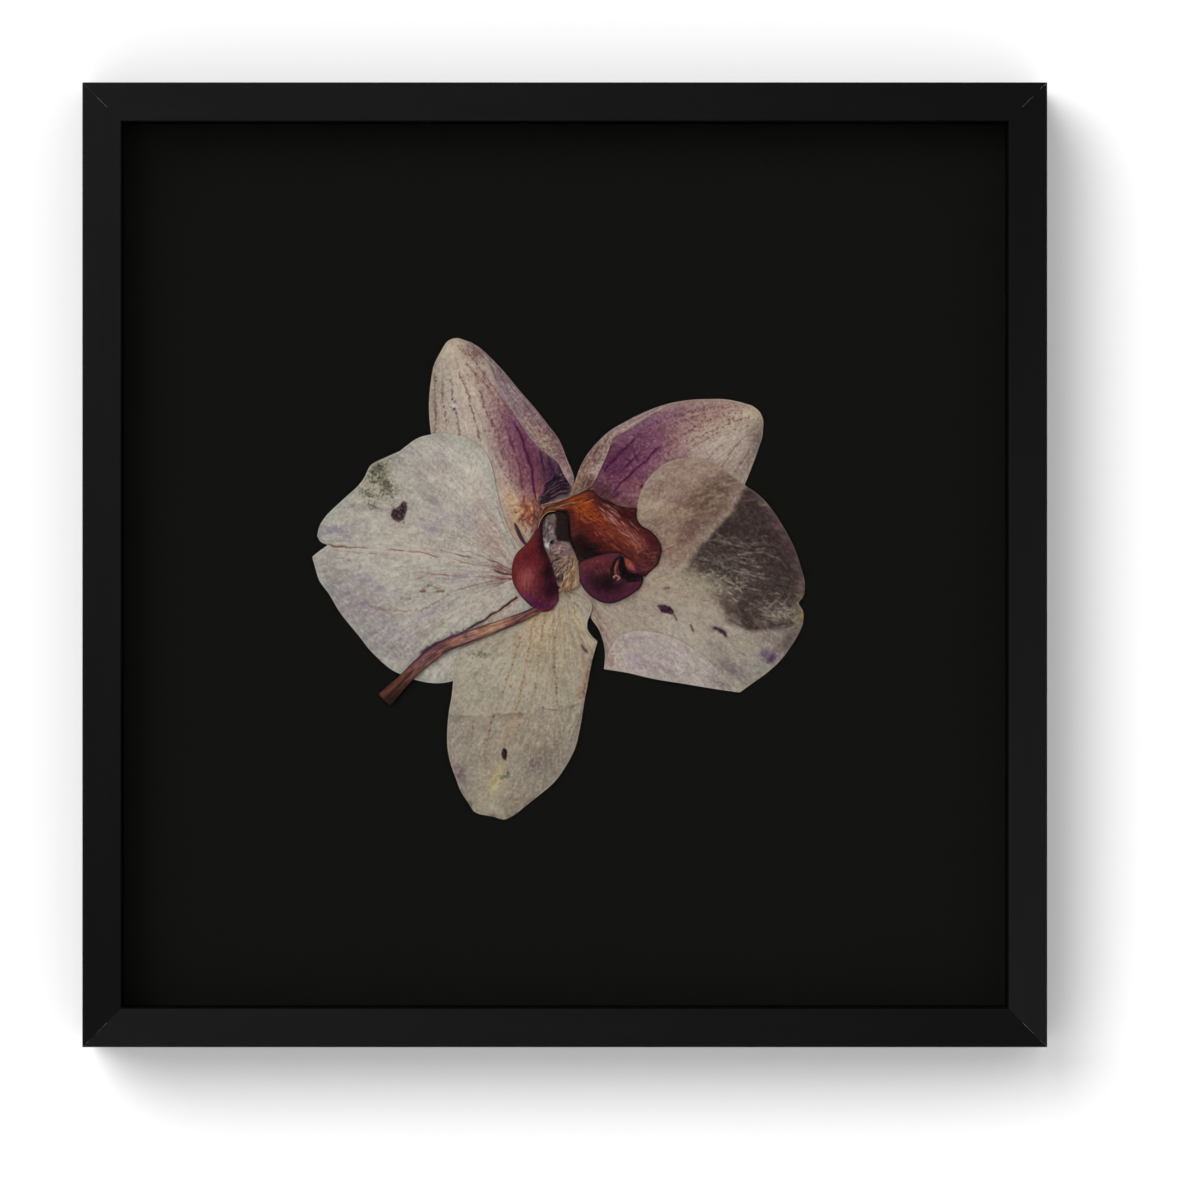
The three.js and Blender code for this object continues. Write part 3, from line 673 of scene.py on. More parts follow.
def sepal_upper_left():
    """Left upper sepal, its right margin folded over. The front is a Coons patch between its four sides,
    raised by the flower's slow wave and by its own relief."""
    s = Skin(
        base=[(500, 549), (535, 558), (557, 552), (563, 530), (570, 500)],
        tip=[(441, 351), (448, 341), (456, 338), (467, 341)],
        left=[
            (500, 549), (470, 528), (448, 497), (436, 462), (431, 434), (429, 402), (431, 381),
            (434, 365), (441, 351),
        ],
        right=UL_RIGHT,
        size=(196, 316),
        tone=(156, 146, 132),
        seed=100,
    )
    s.washes(
        (454, 347, 16, 11, 0, (172, 161, 140), 0.8), (435, 400, 60, 7, 92, (132, 122, 110), 0.75),
        (468, 385, 34, 11, 68, (182, 169, 153), 0.85), (451, 398, 30, 7, 84, (152, 146, 138), 0.6),
        (474, 424, 26, 12, 72, (164, 154, 145), 0.7), (492, 398, 42, 9, 62, (140, 119, 108), 0.8),
        (477, 351, 16, 7, 40, (108, 94, 86), 0.85), (502, 432, 28, 11, 66, (141, 118, 115), 0.8),
        (508, 462, 30, 11, 78, (131, 103, 106), 0.8), (490, 470, 30, 9, 80, (148, 137, 129), 0.7),
        (508, 500, 26, 10, 78, (176, 158, 140), 0.85), (528, 450, 50, 15, 64, (98, 56, 74), 0.97),
        (518, 428, 24, 8, 60, (104, 68, 86), 0.85), (540, 484, 26, 17, 80, (112, 68, 72), 0.9),
        (524, 478, 22, 8, 76, (120, 78, 84), 0.7), (554, 472, 24, 12, 56, (56, 34, 50), 0.97),
        (562, 486, 12, 7, 40, (42, 28, 42), 0.95), (528, 508, 18, 9, 20, (152, 106, 70), 0.9),
        (536, 520, 18, 12, 20, (108, 68, 54), 0.9), (516, 508, 18, 5, 78, (182, 162, 122), 0.8),
        (512, 527, 14, 6, 66, (150, 120, 100), 0.7),
    )
    dark = (70, 44, 54)
    purple = s.soft(532, 462, 50, 22, 66)
    s.flecks(7, (186, 176, 160), 0.26, mask=1 - 0.8 * purple)
    s.flecks(5, (118, 92, 90), 0.2, 0.2)
    s.net(4.6, (66, 34, 54), 0.34, np.clip(1.5 * purple, 0, 1), 0.16)
    s.net(2.2, (60, 30, 50), 0.22, purple, 0.2)
    s.blend((136, 92, 104), 0.3 * purple * smooth(rough(s.x / 2.2, s.y / 2.2, 131), 0.0, 0.5))
    s.net(3.4, (38, 22, 40), 0.6, s.soft(556, 474, 18, 14, 50), 0.14)
    s.veins(20, 0.02, 0.6, 0, 230, 0.6, (124, 100, 92), 0.3)
    trails = [
        [(435, 374), (434.5, 398), (436, 414), (435, 432)],
        [(442, 382), (443, 403), (445, 414), (446, 432)],
        [(451, 380), (453, 400), (456, 412), (458, 424), (460, 438)],
        [(458, 372), (466, 388), (470.5, 403), (474, 419), (478, 432), (481, 440)],
        [(466, 362), (477, 376), (490, 390), (498, 402), (504, 411), (511, 420)],
        [(470, 356), (482, 372), (494, 388), (503, 400), (512, 414)],
        [(480, 390), (484, 406), (491, 421), (498, 432), (500, 444), (503, 458)],
        [(489, 410), (493, 426), (502, 446), (508, 462), (512, 480), (516, 496)],
        [(497, 404), (505, 424), (512, 444), (518, 464), (522, 486)],
    ]
    for k, path in enumerate(trails):
        s.trail(path, 2.3, 0.95, dark if k != 4 else (92, 54, 50), 0.95, 0.5)
        s.line(path, 0.8, (104, 76, 76), 0.45, 5)
    for k in range(5):
        path = [(441 + 9 * k, 360 + 3 * k), (446 + 11 * k, 380 + 4 * k), (451 + 12 * k, 404 + 6 * k)]
        s.trail(path, 5.5, 0.6, (100, 72, 66), 0.7, 1.6)
    main = [(513, 420), (522, 437), (528, 457), (532, 471), (534, 489), (537, 503)]
    s.lines(
        (main, 1.25, (54, 18, 42), 0.95, 0, 0.06, 10),
        ([(505, 424), (512, 444), (519, 466), (523, 492)], 0.9, (66, 32, 50), 0.7, 6),
        ([(546, 497), (553, 488), (560, 478)], 1.1, (48, 18, 40), 0.9),
        ([(540, 448), (543, 465), (546, 484)], 1.0, (48, 24, 46), 0.8, 0, 0.05),
        ([(548, 456), (552, 470), (560, 482), (568, 487)], 1.1, (34, 20, 38), 0.85, 0, 0.06),
        ([(558, 463), (562, 474), (569, 484)], 1.0, (36, 22, 40), 0.85, 0, 0.06),
    )
    s.wash(555, 494, 18, 5, -24, (34, 22, 30), 0.8)
    for k in range(6):
        path = [(537 + 1.5 * k, 506 - 3.4 * k), (546 + k, 500 - 3.7 * k), (556, 496 - 3.9 * k),
                (564, 492.5 - 3.6 * k), (572, 490.5 - 3 * k)]
        path = [(px + s.random.normal(0, 0.5), py + s.random.normal(0, 0.7)) for px, py in path]
        s.line(path, 1.15, (20, 12, 20), 1.0, 0, 0.05, 4)
        path = [(px, py - 1.7) for px, py in path]
        s.line(path, 0.6, (146, 110, 116), 0.6, 6, -0.02, 4)
    gold = ((206, 160, 96), (176, 124, 70), (192, 150, 100))
    s.wisps(30, 529, 510, 11, 12, 20, 9, 78, 0.8, gold, 0.7)
    s.wisps(60, 530, 512, 11, 14, 20, 8, 80, 0.9, ((78, 38, 34), (110, 52, 36), (66, 34, 48)), 0.8)
    s.scatter(24, 528, 518, 9, 5, 10, 0.9, (62, 28, 46), 0.8)
    s.scatter(40, 520, 508, 10, 12, 0, 0.6, (92, 56, 46), 0.7)
    s.wash(453.5, 405.5, 3.4, 2.6, 0, (190, 188, 190), 0.8)
    s.dot(454, 409, 1.3, (44, 38, 44), 1.0)
    s.dot(451, 407, 0.9, (70, 60, 66), 0.8)
    s.grain((192, 182, 166), (112, 94, 88), 0.32, pale=1 - 0.75 * purple)
    s.scatters(
        (120, 474, 352, 15, 7, 30, 0.7, (96, 64, 58), 0.8),
        (160, 492, 395, 50, 9, 62, 0.7, (92, 58, 60), 0.75),
        (160, 462, 400, 55, 26, 75, 0.5, (112, 84, 80), 0.5),
        (160, 505, 455, 45, 14, 72, 0.7, (78, 42, 56), 0.7),
    )
    s.speckle(0.14, (118, 90, 84), 0.4, 0.8 + 0 * s.x)
    s.speckle(0.3, (66, 32, 52), 0.45, purple)
    s.brighten(1.09)
    s.rimmed((168, 158, 144), 0.35, (112, 100, 90))
    s.relief += 0.05 * np.exp(-(((s.edge - 1) / 5) ** 2)) * rough(s.x / 12, s.y / 12, 5)

    fold = Skin(
        base=[(570, 499), (572, 492), (573, 485)],
        tip=[(467, 341), (469, 341.5), (471, 342)],
        left=[
            (572, 487), (564, 475), (558, 463), (548, 455), (539, 447), (531, 439), (523, 427),
            (512, 410), (501, 393), (495, 380), (489, 365), (481, 353), (467, 341),
        ],
        right=[
            (574, 479), (567, 459), (558, 438), (549, 426), (538, 412), (520, 391), (505, 373),
            (492, 359), (480, 348), (471, 342),
        ],
        size=(43, 316),
        tone=(122, 102, 108),
        seed=120,
    )
    fold.washes(
        (500, 380, 26, 9, 52, (116, 102, 106), 0.9), (515, 396, 26, 8, 50, (124, 106, 114), 0.9),
        (529, 414, 18, 8, 50, (124, 98, 106), 0.8), (535, 432, 18, 6, 48, (164, 138, 118), 0.95),
        (550, 445, 18, 6, 52, (158, 130, 108), 0.95), (562, 458, 12, 5, 60, (104, 66, 76), 0.85),
        (566, 474, 16, 5, 65, (158, 132, 118), 0.9), (544, 420, 26, 3.5, 50, (104, 70, 74), 0.75),
        (560, 440, 16, 2.5, 64, (92, 60, 66), 0.7),
    )
    fold.veins(14, 0.05, 0.95, 10, 260, 0.55, (84, 52, 66), 0.6, 12)
    fold.veins(12, 0.05, 0.95, 10, 260, 0.6, (196, 182, 162), 0.5, 14)
    fold.net(3.4, (84, 56, 62), 0.45, fold.soft(545, 435, 30, 14, 50), 0.1)
    fold.grain((184, 168, 156), (88, 64, 70), 0.5)
    fold.scatter(60, 545, 436, 26, 7, 50, 0.8, (84, 50, 52), 0.7)
    fold.rimmed((168, 152, 140), 0.35)
    fold.relief += 0.05 * fold.fibre(20, 40)
    shells = [s.shell(0.15, 0.18), fold.shell(0.36, 0.1)]
    return mesh_object("left_upper_sepal", shells, sepal_tissue, "sepal_tissue", "sepal_upper_left")


def sepal_upper_right():
    """Right upper sepal, its left margin folded over. The front is a Coons patch between its four sides,
    raised by the flower's slow wave and by its own relief."""
    s = Skin(
        base=[(568, 500), (574, 530), (594, 552), (620, 568)],
        tip=[(753, 406), (759, 411), (763, 419), (763, 430)],
        left=[
            (568, 500), (574, 484), (581.7, 464), (591, 449.5), (600.7, 439), (607, 433), (624.5, 422),
            (643.6, 412.5), (667, 404), (689, 400), (708, 399), (727, 399.5), (743.6, 403), (753, 406),
        ],
        right=[
            (620, 568), (650, 574), (676, 567), (694, 555), (703, 541), (719, 528), (730, 514),
            (739, 498), (745, 484), (753, 464), (759, 447), (762.5, 436), (763, 430),
        ],
        size=(196, 310),
        tone=(136, 114, 106),
        seed=200,
    )
    s.washes(
        (735, 440, 50, 32, -50, (158, 148, 136), 0.95), (752, 412, 18, 11, 20, (170, 156, 134), 0.85),
        (704, 450, 36, 12, -32, (162, 152, 142), 0.8), (724, 424, 40, 10, -22, (160, 148, 130), 0.8),
        (757, 448, 34, 7, -75, (116, 108, 96), 0.8), (742, 465, 26, 10, -62, (124, 114, 104), 0.75),
        (712, 405, 44, 6, 2, (146, 124, 114), 0.8), (690, 411, 34, 7, -12, (120, 96, 94), 0.85),
        (683, 428, 34, 8, -26, (140, 116, 110), 0.75), (630, 462, 50, 36, -36, (92, 54, 72), 0.98),
        (655, 422, 32, 8, -22, (110, 84, 98), 0.95), (646, 440, 24, 10, -30, (108, 76, 92), 0.8),
        (614, 464, 26, 14, -50, (76, 42, 62), 0.9), (655, 462, 22, 8, -42, (118, 84, 94), 0.75),
        (634, 486, 18, 7, 10, (116, 74, 82), 0.75), (622, 501, 24, 6, 14, (92, 54, 60), 0.85),
        (586, 478, 14, 9, -60, (132, 106, 86), 0.85), (604, 490, 13, 6, 32, (62, 38, 42), 0.95),
        (578, 490, 12, 8, 0, (128, 98, 70), 0.9), (592, 490, 10, 5, 20, (70, 46, 42), 0.8),
        (668, 455, 20, 8, -50, (132, 102, 104), 0.7), (640, 460, 16, 9, -40, (112, 74, 92), 0.7),
        (634, 484, 16, 7, 10, (130, 86, 90), 0.7), (682, 432, 24, 7, -26, (146, 122, 116), 0.7),
        (696, 440, 20, 7, -30, (160, 146, 134), 0.7), (758, 440, 9, 20, 16, (92, 82, 74), 0.8),
    )
    purple = np.clip(1.3 * s.soft(628, 462, 46, 30, -36), 0, 1)
    s.flecks(7, (190, 180, 162), 0.22, mask=1 - 0.9 * purple)
    s.flecks(5, (112, 84, 82), 0.2, 0.2)
    s.net(5.0, (62, 28, 52), 0.34, np.clip(1.5 * purple, 0, 1), 0.16)
    s.net(2.3, (58, 26, 48), 0.22, purple, 0.2)
    s.blend((140, 98, 112), 0.3 * purple * smooth(rough(s.x / 2.2, s.y / 2.2, 231), 0.0, 0.5))
    s.veins(18, 0.25, 0.95, 60, 240, 0.6, (112, 88, 84), 0.3)
    deep = (50, 16, 42)
    for path, width in (
        ([(603, 473), (611, 463), (620, 453.5), (629, 445), (638, 436)], 1.2),
        ([(606, 471), (601, 462), (605, 452), (616, 444)], 1.0),
        ([(612, 495), (622, 483), (636, 469), (648, 459), (656, 449.5), (662, 446)], 1.2),
        ([(623, 490), (616, 496), (610, 499)], 1.0),
        ([(633, 448), (636, 456), (639, 464)], 0.9),
        ([(625, 457), (633, 464)], 0.8),
        ([(640, 452), (632, 460), (622, 470)], 0.8),
    ):
        s.line(path, width, deep, 0.9, 0, 0.05, 8)
    dotted = [
        [(660, 447), (670, 442), (684, 434), (698, 426), (712, 418.5), (728, 414)],
        [(664, 455), (679, 445), (698, 437.5), (718, 428), (736, 421), (750, 416)],
        [(645, 428), (667, 419), (684, 414), (708, 408), (730, 407)],
        [(642, 436), (662, 428), (684, 420), (706, 413)],
        [(700, 470), (708, 458), (716, 449), (728, 441)],
        [(721, 467), (727, 459), (733, 450), (739, 442)],
        [(684, 458), (692, 448), (704, 440), (722, 432)],
        [(735, 474), (742, 462), (750, 448), (755, 436)],
    ]
    for k, path in enumerate(dotted):
        tone = (84, 46, 50) if k < 4 else (102, 70, 84)
        s.trail(path, 2.4, 0.95, tone, 0.95, 0.7)
        s.line(path, 0.8, (112, 80, 76), 0.45, 5)
    s.dot(641.6, 486.4, 1.7, (34, 18, 24), 0.95)
    s.dot(643.6, 488.2, 1.5, (34, 18, 24), 0.9)
    s.grain((194, 182, 166), (106, 86, 82), 0.32, pale=1 - 0.8 * purple)
    s.scatters(
        (260, 700, 424, 50, 15, -16, 0.7, (96, 58, 52), 0.8),
        (120, 735, 440, 26, 22, -40, 0.6, (114, 88, 80), 0.6),
        (120, 660, 440, 34, 14, -40, 0.7, (74, 40, 58), 0.7),
        (60, 740, 470, 20, 8, -60, 0.8, (96, 84, 76), 0.6),
    )
    s.speckle(0.14, (112, 86, 78), 0.4, 0.75 + 0 * s.x)
    s.speckle(0.3, (60, 26, 48), 0.45, purple)
    s.brighten(1.08)
    s.line([(745, 403), (753, 407), (758, 411)], 1.1, (186, 166, 122), 0.7)
    s.rimmed((172, 162, 146), 0.35, (108, 94, 88))

    lower = Skin(
        base=[(568, 499), (579, 494), (591, 486)],
        tip=[(607, 433), (610, 435.5), (613, 438)],
        left=[(568, 499), (574, 484), (581.7, 464), (591, 449.5), (600.7, 439), (607, 433)],
        right=[(591, 486), (595, 480), (602, 466), (608, 452), (613, 438)],
        size=(43, 127),
        tone=(140, 114, 102),
        seed=230,
    )
    lower.washes(
        (580, 482, 16, 8, -60, (122, 92, 68), 0.9), (589, 484, 8, 6, -60, (92, 64, 56), 0.8),
        (597, 470, 20, 3.2, -66, (172, 156, 150), 0.85), (590, 458, 26, 5, -56, (128, 100, 92), 0.85),
        (607, 443, 12, 5, -50, (164, 142, 134), 0.8), (589, 484, 9, 5, -50, (72, 46, 42), 0.8),
        (598, 457, 16, 4, -56, (128, 102, 94), 0.7),
    )
    lower.veins(14, 0.05, 0.95, 4, 90, 0.6, (82, 46, 50), 0.7, 7)
    lower.veins(12, 0.05, 0.95, 4, 90, 0.6, (200, 184, 166), 0.6, 8)
    lower.net(3.6, (88, 54, 54), 0.4, 1.0 + 0 * lower.x, 0.1)
    lower.grain((190, 172, 156), (84, 56, 54), 0.55)
    lower.rimmed((172, 156, 144), 0.4)
    upper = Skin(
        base=[(607, 433), (610, 435.5), (613, 438)],
        tip=[(664, 405), (665, 406), (666, 407)],
        left=[(607, 433), (624.5, 422), (643.6, 412.5), (664, 405)],
        right=[(613, 438), (629, 429.5), (646, 419), (666, 407)],
        size=(16, 82),
        tone=(146, 122, 116),
        seed=240,
    )
    upper.wash(616, 431, 12, 5, -20, (164, 142, 136), 0.8)
    upper.wash(640, 419, 20, 4, -24, (140, 114, 118), 0.8)
    upper.veins(6, 0.05, 0.95, 4, 70, 0.6, (92, 58, 66), 0.6, 7)
    upper.veins(5, 0.05, 0.95, 4, 70, 0.6, (196, 180, 168), 0.5, 7)
    upper.grain((186, 170, 158), (98, 72, 72), 0.5)
    shells = [s.shell(0.15, 0.18), lower.shell(0.36, 0.1), upper.shell(0.37, 0.08)]
    return mesh_object(
        "right_upper_sepal", shells, sepal_tissue, "sepal_tissue", "sepal_upper_right"
    )


def petal_left():
    """Left petal, split at its tip. The front is a Coons patch between its four sides,
    raised by the flower's slow wave and by its own relief,
    with a rise where it crosses the sepal."""
    s = Skin(
        base=[(517, 546), (530, 556), (540, 568), (546, 590), (538, 612)],
        tip=[
            (406, 446), (394, 455), (382, 459), (371, 465), (364, 478), (358, 486), (348, 495),
            (336, 506), (326, 516), (320, 525), (317, 536), (317, 536), (321, 542), (328, 545),
            (328, 545), (322, 549), (312, 557), (312, 557), (315, 567), (319, 580), (329, 594),
            (339, 611), (349, 624), (359, 636), (369, 649), (382, 662),
        ],
        left=[
            (517, 546), (508, 528), (501, 508), (497, 492), (494, 476), (490, 462), (485, 452),
            (472, 441), (455, 434.5), (441, 433), (431, 434.5), (418, 438), (406, 446),
        ],
        right=[
            (538, 612), (522, 636), (500, 656), (475, 672), (453, 681), (443, 683), (431, 683),
            (416, 680), (400, 674), (392, 670), (382, 662),
        ],
        size=(283, 283),
        tone=(161, 158, 145),
        seed=300,
    )
    s.fanned(522, 576, 0.05)
    s.washes(
        (468, 476, 34, 20, 76, (184, 178, 164), 0.9), (450, 452, 24, 9, 6, (182, 178, 168), 0.8),
        (476, 496, 22, 10, 80, (178, 166, 148), 0.6), (440, 480, 26, 8, 76, (162, 148, 140), 0.75),
        (424, 474, 24, 7, 72, (158, 150, 142), 0.7), (402, 452, 14, 8, -30, (132, 130, 124), 0.85),
        (378, 478, 20, 14, -60, (142, 136, 114), 0.85), (356, 504, 26, 10, -40, (168, 166, 148), 0.75),
        (330, 522, 18, 6, -60, (150, 150, 142), 0.7), (325, 536, 8, 8, -60, (162, 162, 156), 0.6),
        (372, 566, 36, 9, 0, (164, 160, 150), 0.8), (416, 552, 50, 12, 4, (176, 168, 154), 0.75),
        (400, 530, 34, 10, 6, (174, 168, 152), 0.8), (340, 566, 16, 10, 30, (148, 142, 136), 0.7),
        (330, 585, 26, 10, 58, (122, 120, 116), 0.85), (352, 604, 30, 14, 48, (130, 122, 124), 0.9),
        (378, 604, 20, 10, 30, (146, 136, 130), 0.8), (374, 636, 26, 12, 45, (134, 132, 124), 0.85),
        (398, 645, 34, 16, 36, (132, 126, 122), 0.8), (420, 632, 20, 8, -20, (144, 132, 126), 0.75),
        (432, 676, 34, 8, 4, (148, 150, 138), 0.85), (458, 668, 14, 12, 0, (168, 158, 140), 0.7),
        (428, 655, 14, 6, -40, (126, 112, 108), 0.8), (478, 640, 24, 8, -26, (164, 154, 136), 0.6),
    )
    lilac = (140, 128, 142)
    for x, y, long, wide, turn, much in (
        (340, 531, 16, 3.5, 4, 0.75), (352, 524, 12, 3, -12, 0.6), (332, 533, 9, 3, 0, 0.5),
        (432, 529, 10, 6, 20, 0.7), (444, 520, 12, 5, -30, 0.45), (421, 522, 9, 4, 10, 0.4),
        (482, 510, 8, 5, 60, 0.5), (470, 522, 16, 7, 50, 0.5), (458, 578, 15, 4.5, -6, 0.85),
        (470, 588, 14, 3, -14, 0.4), (366, 580, 10, 5, 20, 0.65), (382, 590, 11, 5, 24, 0.6),
        (352, 578, 10, 4, 30, 0.45), (362, 600, 14, 5, 30, 0.6), (346, 612, 14, 4, 48, 0.5),
        (388, 622, 18, 5, 34, 0.6), (404, 640, 18, 5, 30, 0.55), (380, 646, 14, 4, 45, 0.45),
        (420, 618, 18, 4, -14, 0.5), (445, 606, 16, 4, -20, 0.4), (432, 500, 18, 5, 70, 0.4),
        (408, 596, 14, 5, 6, 0.35), (490, 564, 16, 4, 10, 0.4), (444, 458, 12, 4, 60, 0.3),
    ):
        s.wash(x, y, long, wide, turn, lilac, much)
    s.washes(
        (489, 524, 18, 8, 66, (166, 142, 130), 0.7), (494, 545, 22, 9, 40, (158, 132, 120), 0.8),
        (503, 573, 18, 7, 8, (150, 124, 114), 0.75), (480, 602, 36, 7, -30, (172, 162, 144), 0.8),
        (505, 606, 18, 5, -34, (172, 154, 142), 0.8),
    )
    s.flecks(9, (194, 190, 174), 0.42)
    s.flecks(6, (136, 120, 122), 0.35, 0.2)
    s.flecks(14, (184, 184, 170), 0.3, 0.1)
    margin = smooth(s.along, 120, 190)
    s.blend((126, 118, 124), 0.5 * margin * smooth(s.fibre(16, 44), 0, 0.6))
    s.blend((172, 174, 164), 0.4 * margin * smooth(-s.fibre(12, 48), 0.1, 0.6))
    s.veins(60, 0.56, 1.44, 4, 110, 0.55, (124, 90, 84), 0.34, 14)
    s.veins(46, 0.6, 1.42, 10, 215, 0.8, (192, 186, 170), 0.42, 20)
    s.veins(36, 0.62, 1.4, 30, 215, 0.6, (118, 100, 106), 0.34, 9)
    s.veins(14, 0.90, 1.14, 2, 50, 0.6, (84, 44, 44), 0.5)
    s.veins(16, 1.14, 1.40, 4, 90, 0.55, (112, 74, 68), 0.35, 12)
    red = (108, 58, 54)
    ridge = [(325, 546), (350, 547), (380, 549), (414, 552), (440, 557), (463, 562), (490, 570), (514, 576)]
    s.lines(
        ([(x, y + 1.6) for x, y in ridge], 1.6, (186, 178, 162), 0.5, 0, -0.05),
        (ridge, 0.7, red, 0.7, 12, 0.04),
        ([(322, 544), (335, 546), (352, 547)], 0.9, (98, 62, 50), 0.8, 0, 0.06),
        ([(332, 550), (360, 553), (392, 556)], 0.6, (130, 98, 88), 0.6, 5, 0.03),
        ([(334, 556), (352, 562), (364, 569)], 0.7, (120, 90, 86), 0.5, 4),
        ([(440, 550), (462, 555), (486, 562), (512, 572)], 0.8, (98, 50, 50), 0.7, 9, 0.04),
        ([(412, 571.5), (446, 575), (476, 577), (508, 579)], 0.6, red, 0.65, 10),
        ([(410, 580), (428, 577), (436, 580)], 0.6, (120, 84, 74), 0.6, 4),
        ([(411, 593), (420, 591.5), (438, 591), (452, 590)], 0.9, (86, 40, 34), 0.85, 6, 0.03),
        ([(438, 593), (462, 588), (487, 584), (510, 581)], 0.7, (108, 60, 56), 0.65, 9),
    )
    dots = [(372, 607), (388, 610), (403, 611), (418, 610), (436, 603), (448, 595)]
    s.trail(dots, 2.0, 0.75, (88, 60, 54), 0.85, 0.5)
    s.lines(
        (dots, 0.6, (126, 96, 84), 0.5, 6),
        ([(490, 570), (503, 573), (516, 576)], 1.1, (62, 30, 36), 0.8, 0, 0.04),
        ([(494, 577), (506, 579), (516, 579)], 0.8, (82, 46, 50), 0.7),
        ([(486, 558), (503, 566), (515, 571)], 0.8, (88, 46, 46), 0.7),
        ([(498, 508), (503, 522), (510, 538), (516, 550)], 0.8, (124, 88, 84), 0.6, 6),
    )
    blot = [(391, 516), (393, 511), (397, 508), (401, 503), (404, 501), (407, 503), (407, 509), (405, 516),
            (403, 520), (398, 522), (393, 520)]
    s.area(blot, (50, 32, 38), 0.98, 1.2)
    s.area([(395, 517), (398, 511), (403, 506), (405, 512), (401, 518)], (30, 20, 26), 0.95, 1.6)
    s.scatter(40, 399, 512, 11, 9, 120, 0.8, (84, 60, 60), 0.75)
    s.scatter(14, 400, 512, 6, 5, 120, 0.8, (112, 88, 82), 0.8)
    mould = ((376, 473, 12, 7, -55, 190), (386, 486, 12, 7, 60, 220), (370, 494, 12, 4, 10, 90),
             (372, 506, 9, 3, 8, 50), (381, 466, 7, 4, 0, 60))
    for x, y, long, wide, turn, count in mould:
        s.wash(x, y, long, wide, turn, (122, 118, 92), 0.45)
        s.scatter(count, x, y, long, wide, turn, 0.62, (44, 44, 34), 0.8)
    s.scatters(
        (40, 428, 587, 10, 3.5, 10, 0.7, (74, 68, 48), 0.8),
        (46, 405, 600, 5, 5, 60, 0.6, (72, 68, 50), 0.75),
        (18, 432, 582, 8, 3, 0, 0.8, (148, 132, 96), 0.6),
    )
    # Crease along the stalk's upper edge: its near-black line is painted shade in the fold, with paler and
    # reddish lines beside it
    crease = [(519, 596), (509, 603), (500, 609.5), (487, 618.5), (472, 627.5), (452, 638),
              (436, 644), (423, 654)]
    s.lines(
        ([(x + 3, y + 3) for x, y in crease], 3.0, (176, 154, 140), 0.45, 0, 0, 3),
        (crease, 1.2, (38, 22, 22), 1.0, 0, 0.1, 3),
        ([(x + 1.5, y + 2) for x, y in crease], 0.7, (134, 92, 84), 0.6, 6, 0, 3),
        ([(458, 634), (446, 640), (436, 646), (424, 656)], 1.8, (84, 48, 74), 0.85, 8),
        ([(440, 638), (430, 645), (420, 657)], 1.4, (50, 28, 44), 0.8, 9),
    )
    s.scatter(60, 448, 640, 18, 3, -34, 0.8, (80, 44, 60), 0.8)
    s.grain((200, 196, 182), (118, 112, 106), 0.36, 0.5)
    s.scatters(
        (240, 470, 530, 34, 30, 40, 0.6, (124, 88, 88), 0.6),
        (200, 430, 520, 60, 50, 0, 0.55, (134, 112, 106), 0.5),
        (120, 450, 470, 30, 20, 0, 0.6, (140, 120, 112), 0.5),
    )
    s.speckle(0.12, (128, 106, 98), 0.35, 0.8 + 0 * s.x)
    s.relief += 0.03 * s.fibre(30, 90) + 0.05 * s.soft(462, 470, 40, 24, 70)
    s.tone *= (1.025, 1.014, 1.018)
    s.rimmed((176, 176, 166), 0.35, (120, 116, 104))
    rise = 0.3 * oval(s.x, s.y, -15, 25, 28, 15, 1.951)
    shells = [s.shell(0.15 + rise, 0.18)]
    return mesh_object("left_petal", shells, petal_tissue, "petal_tissue", "petal_left")


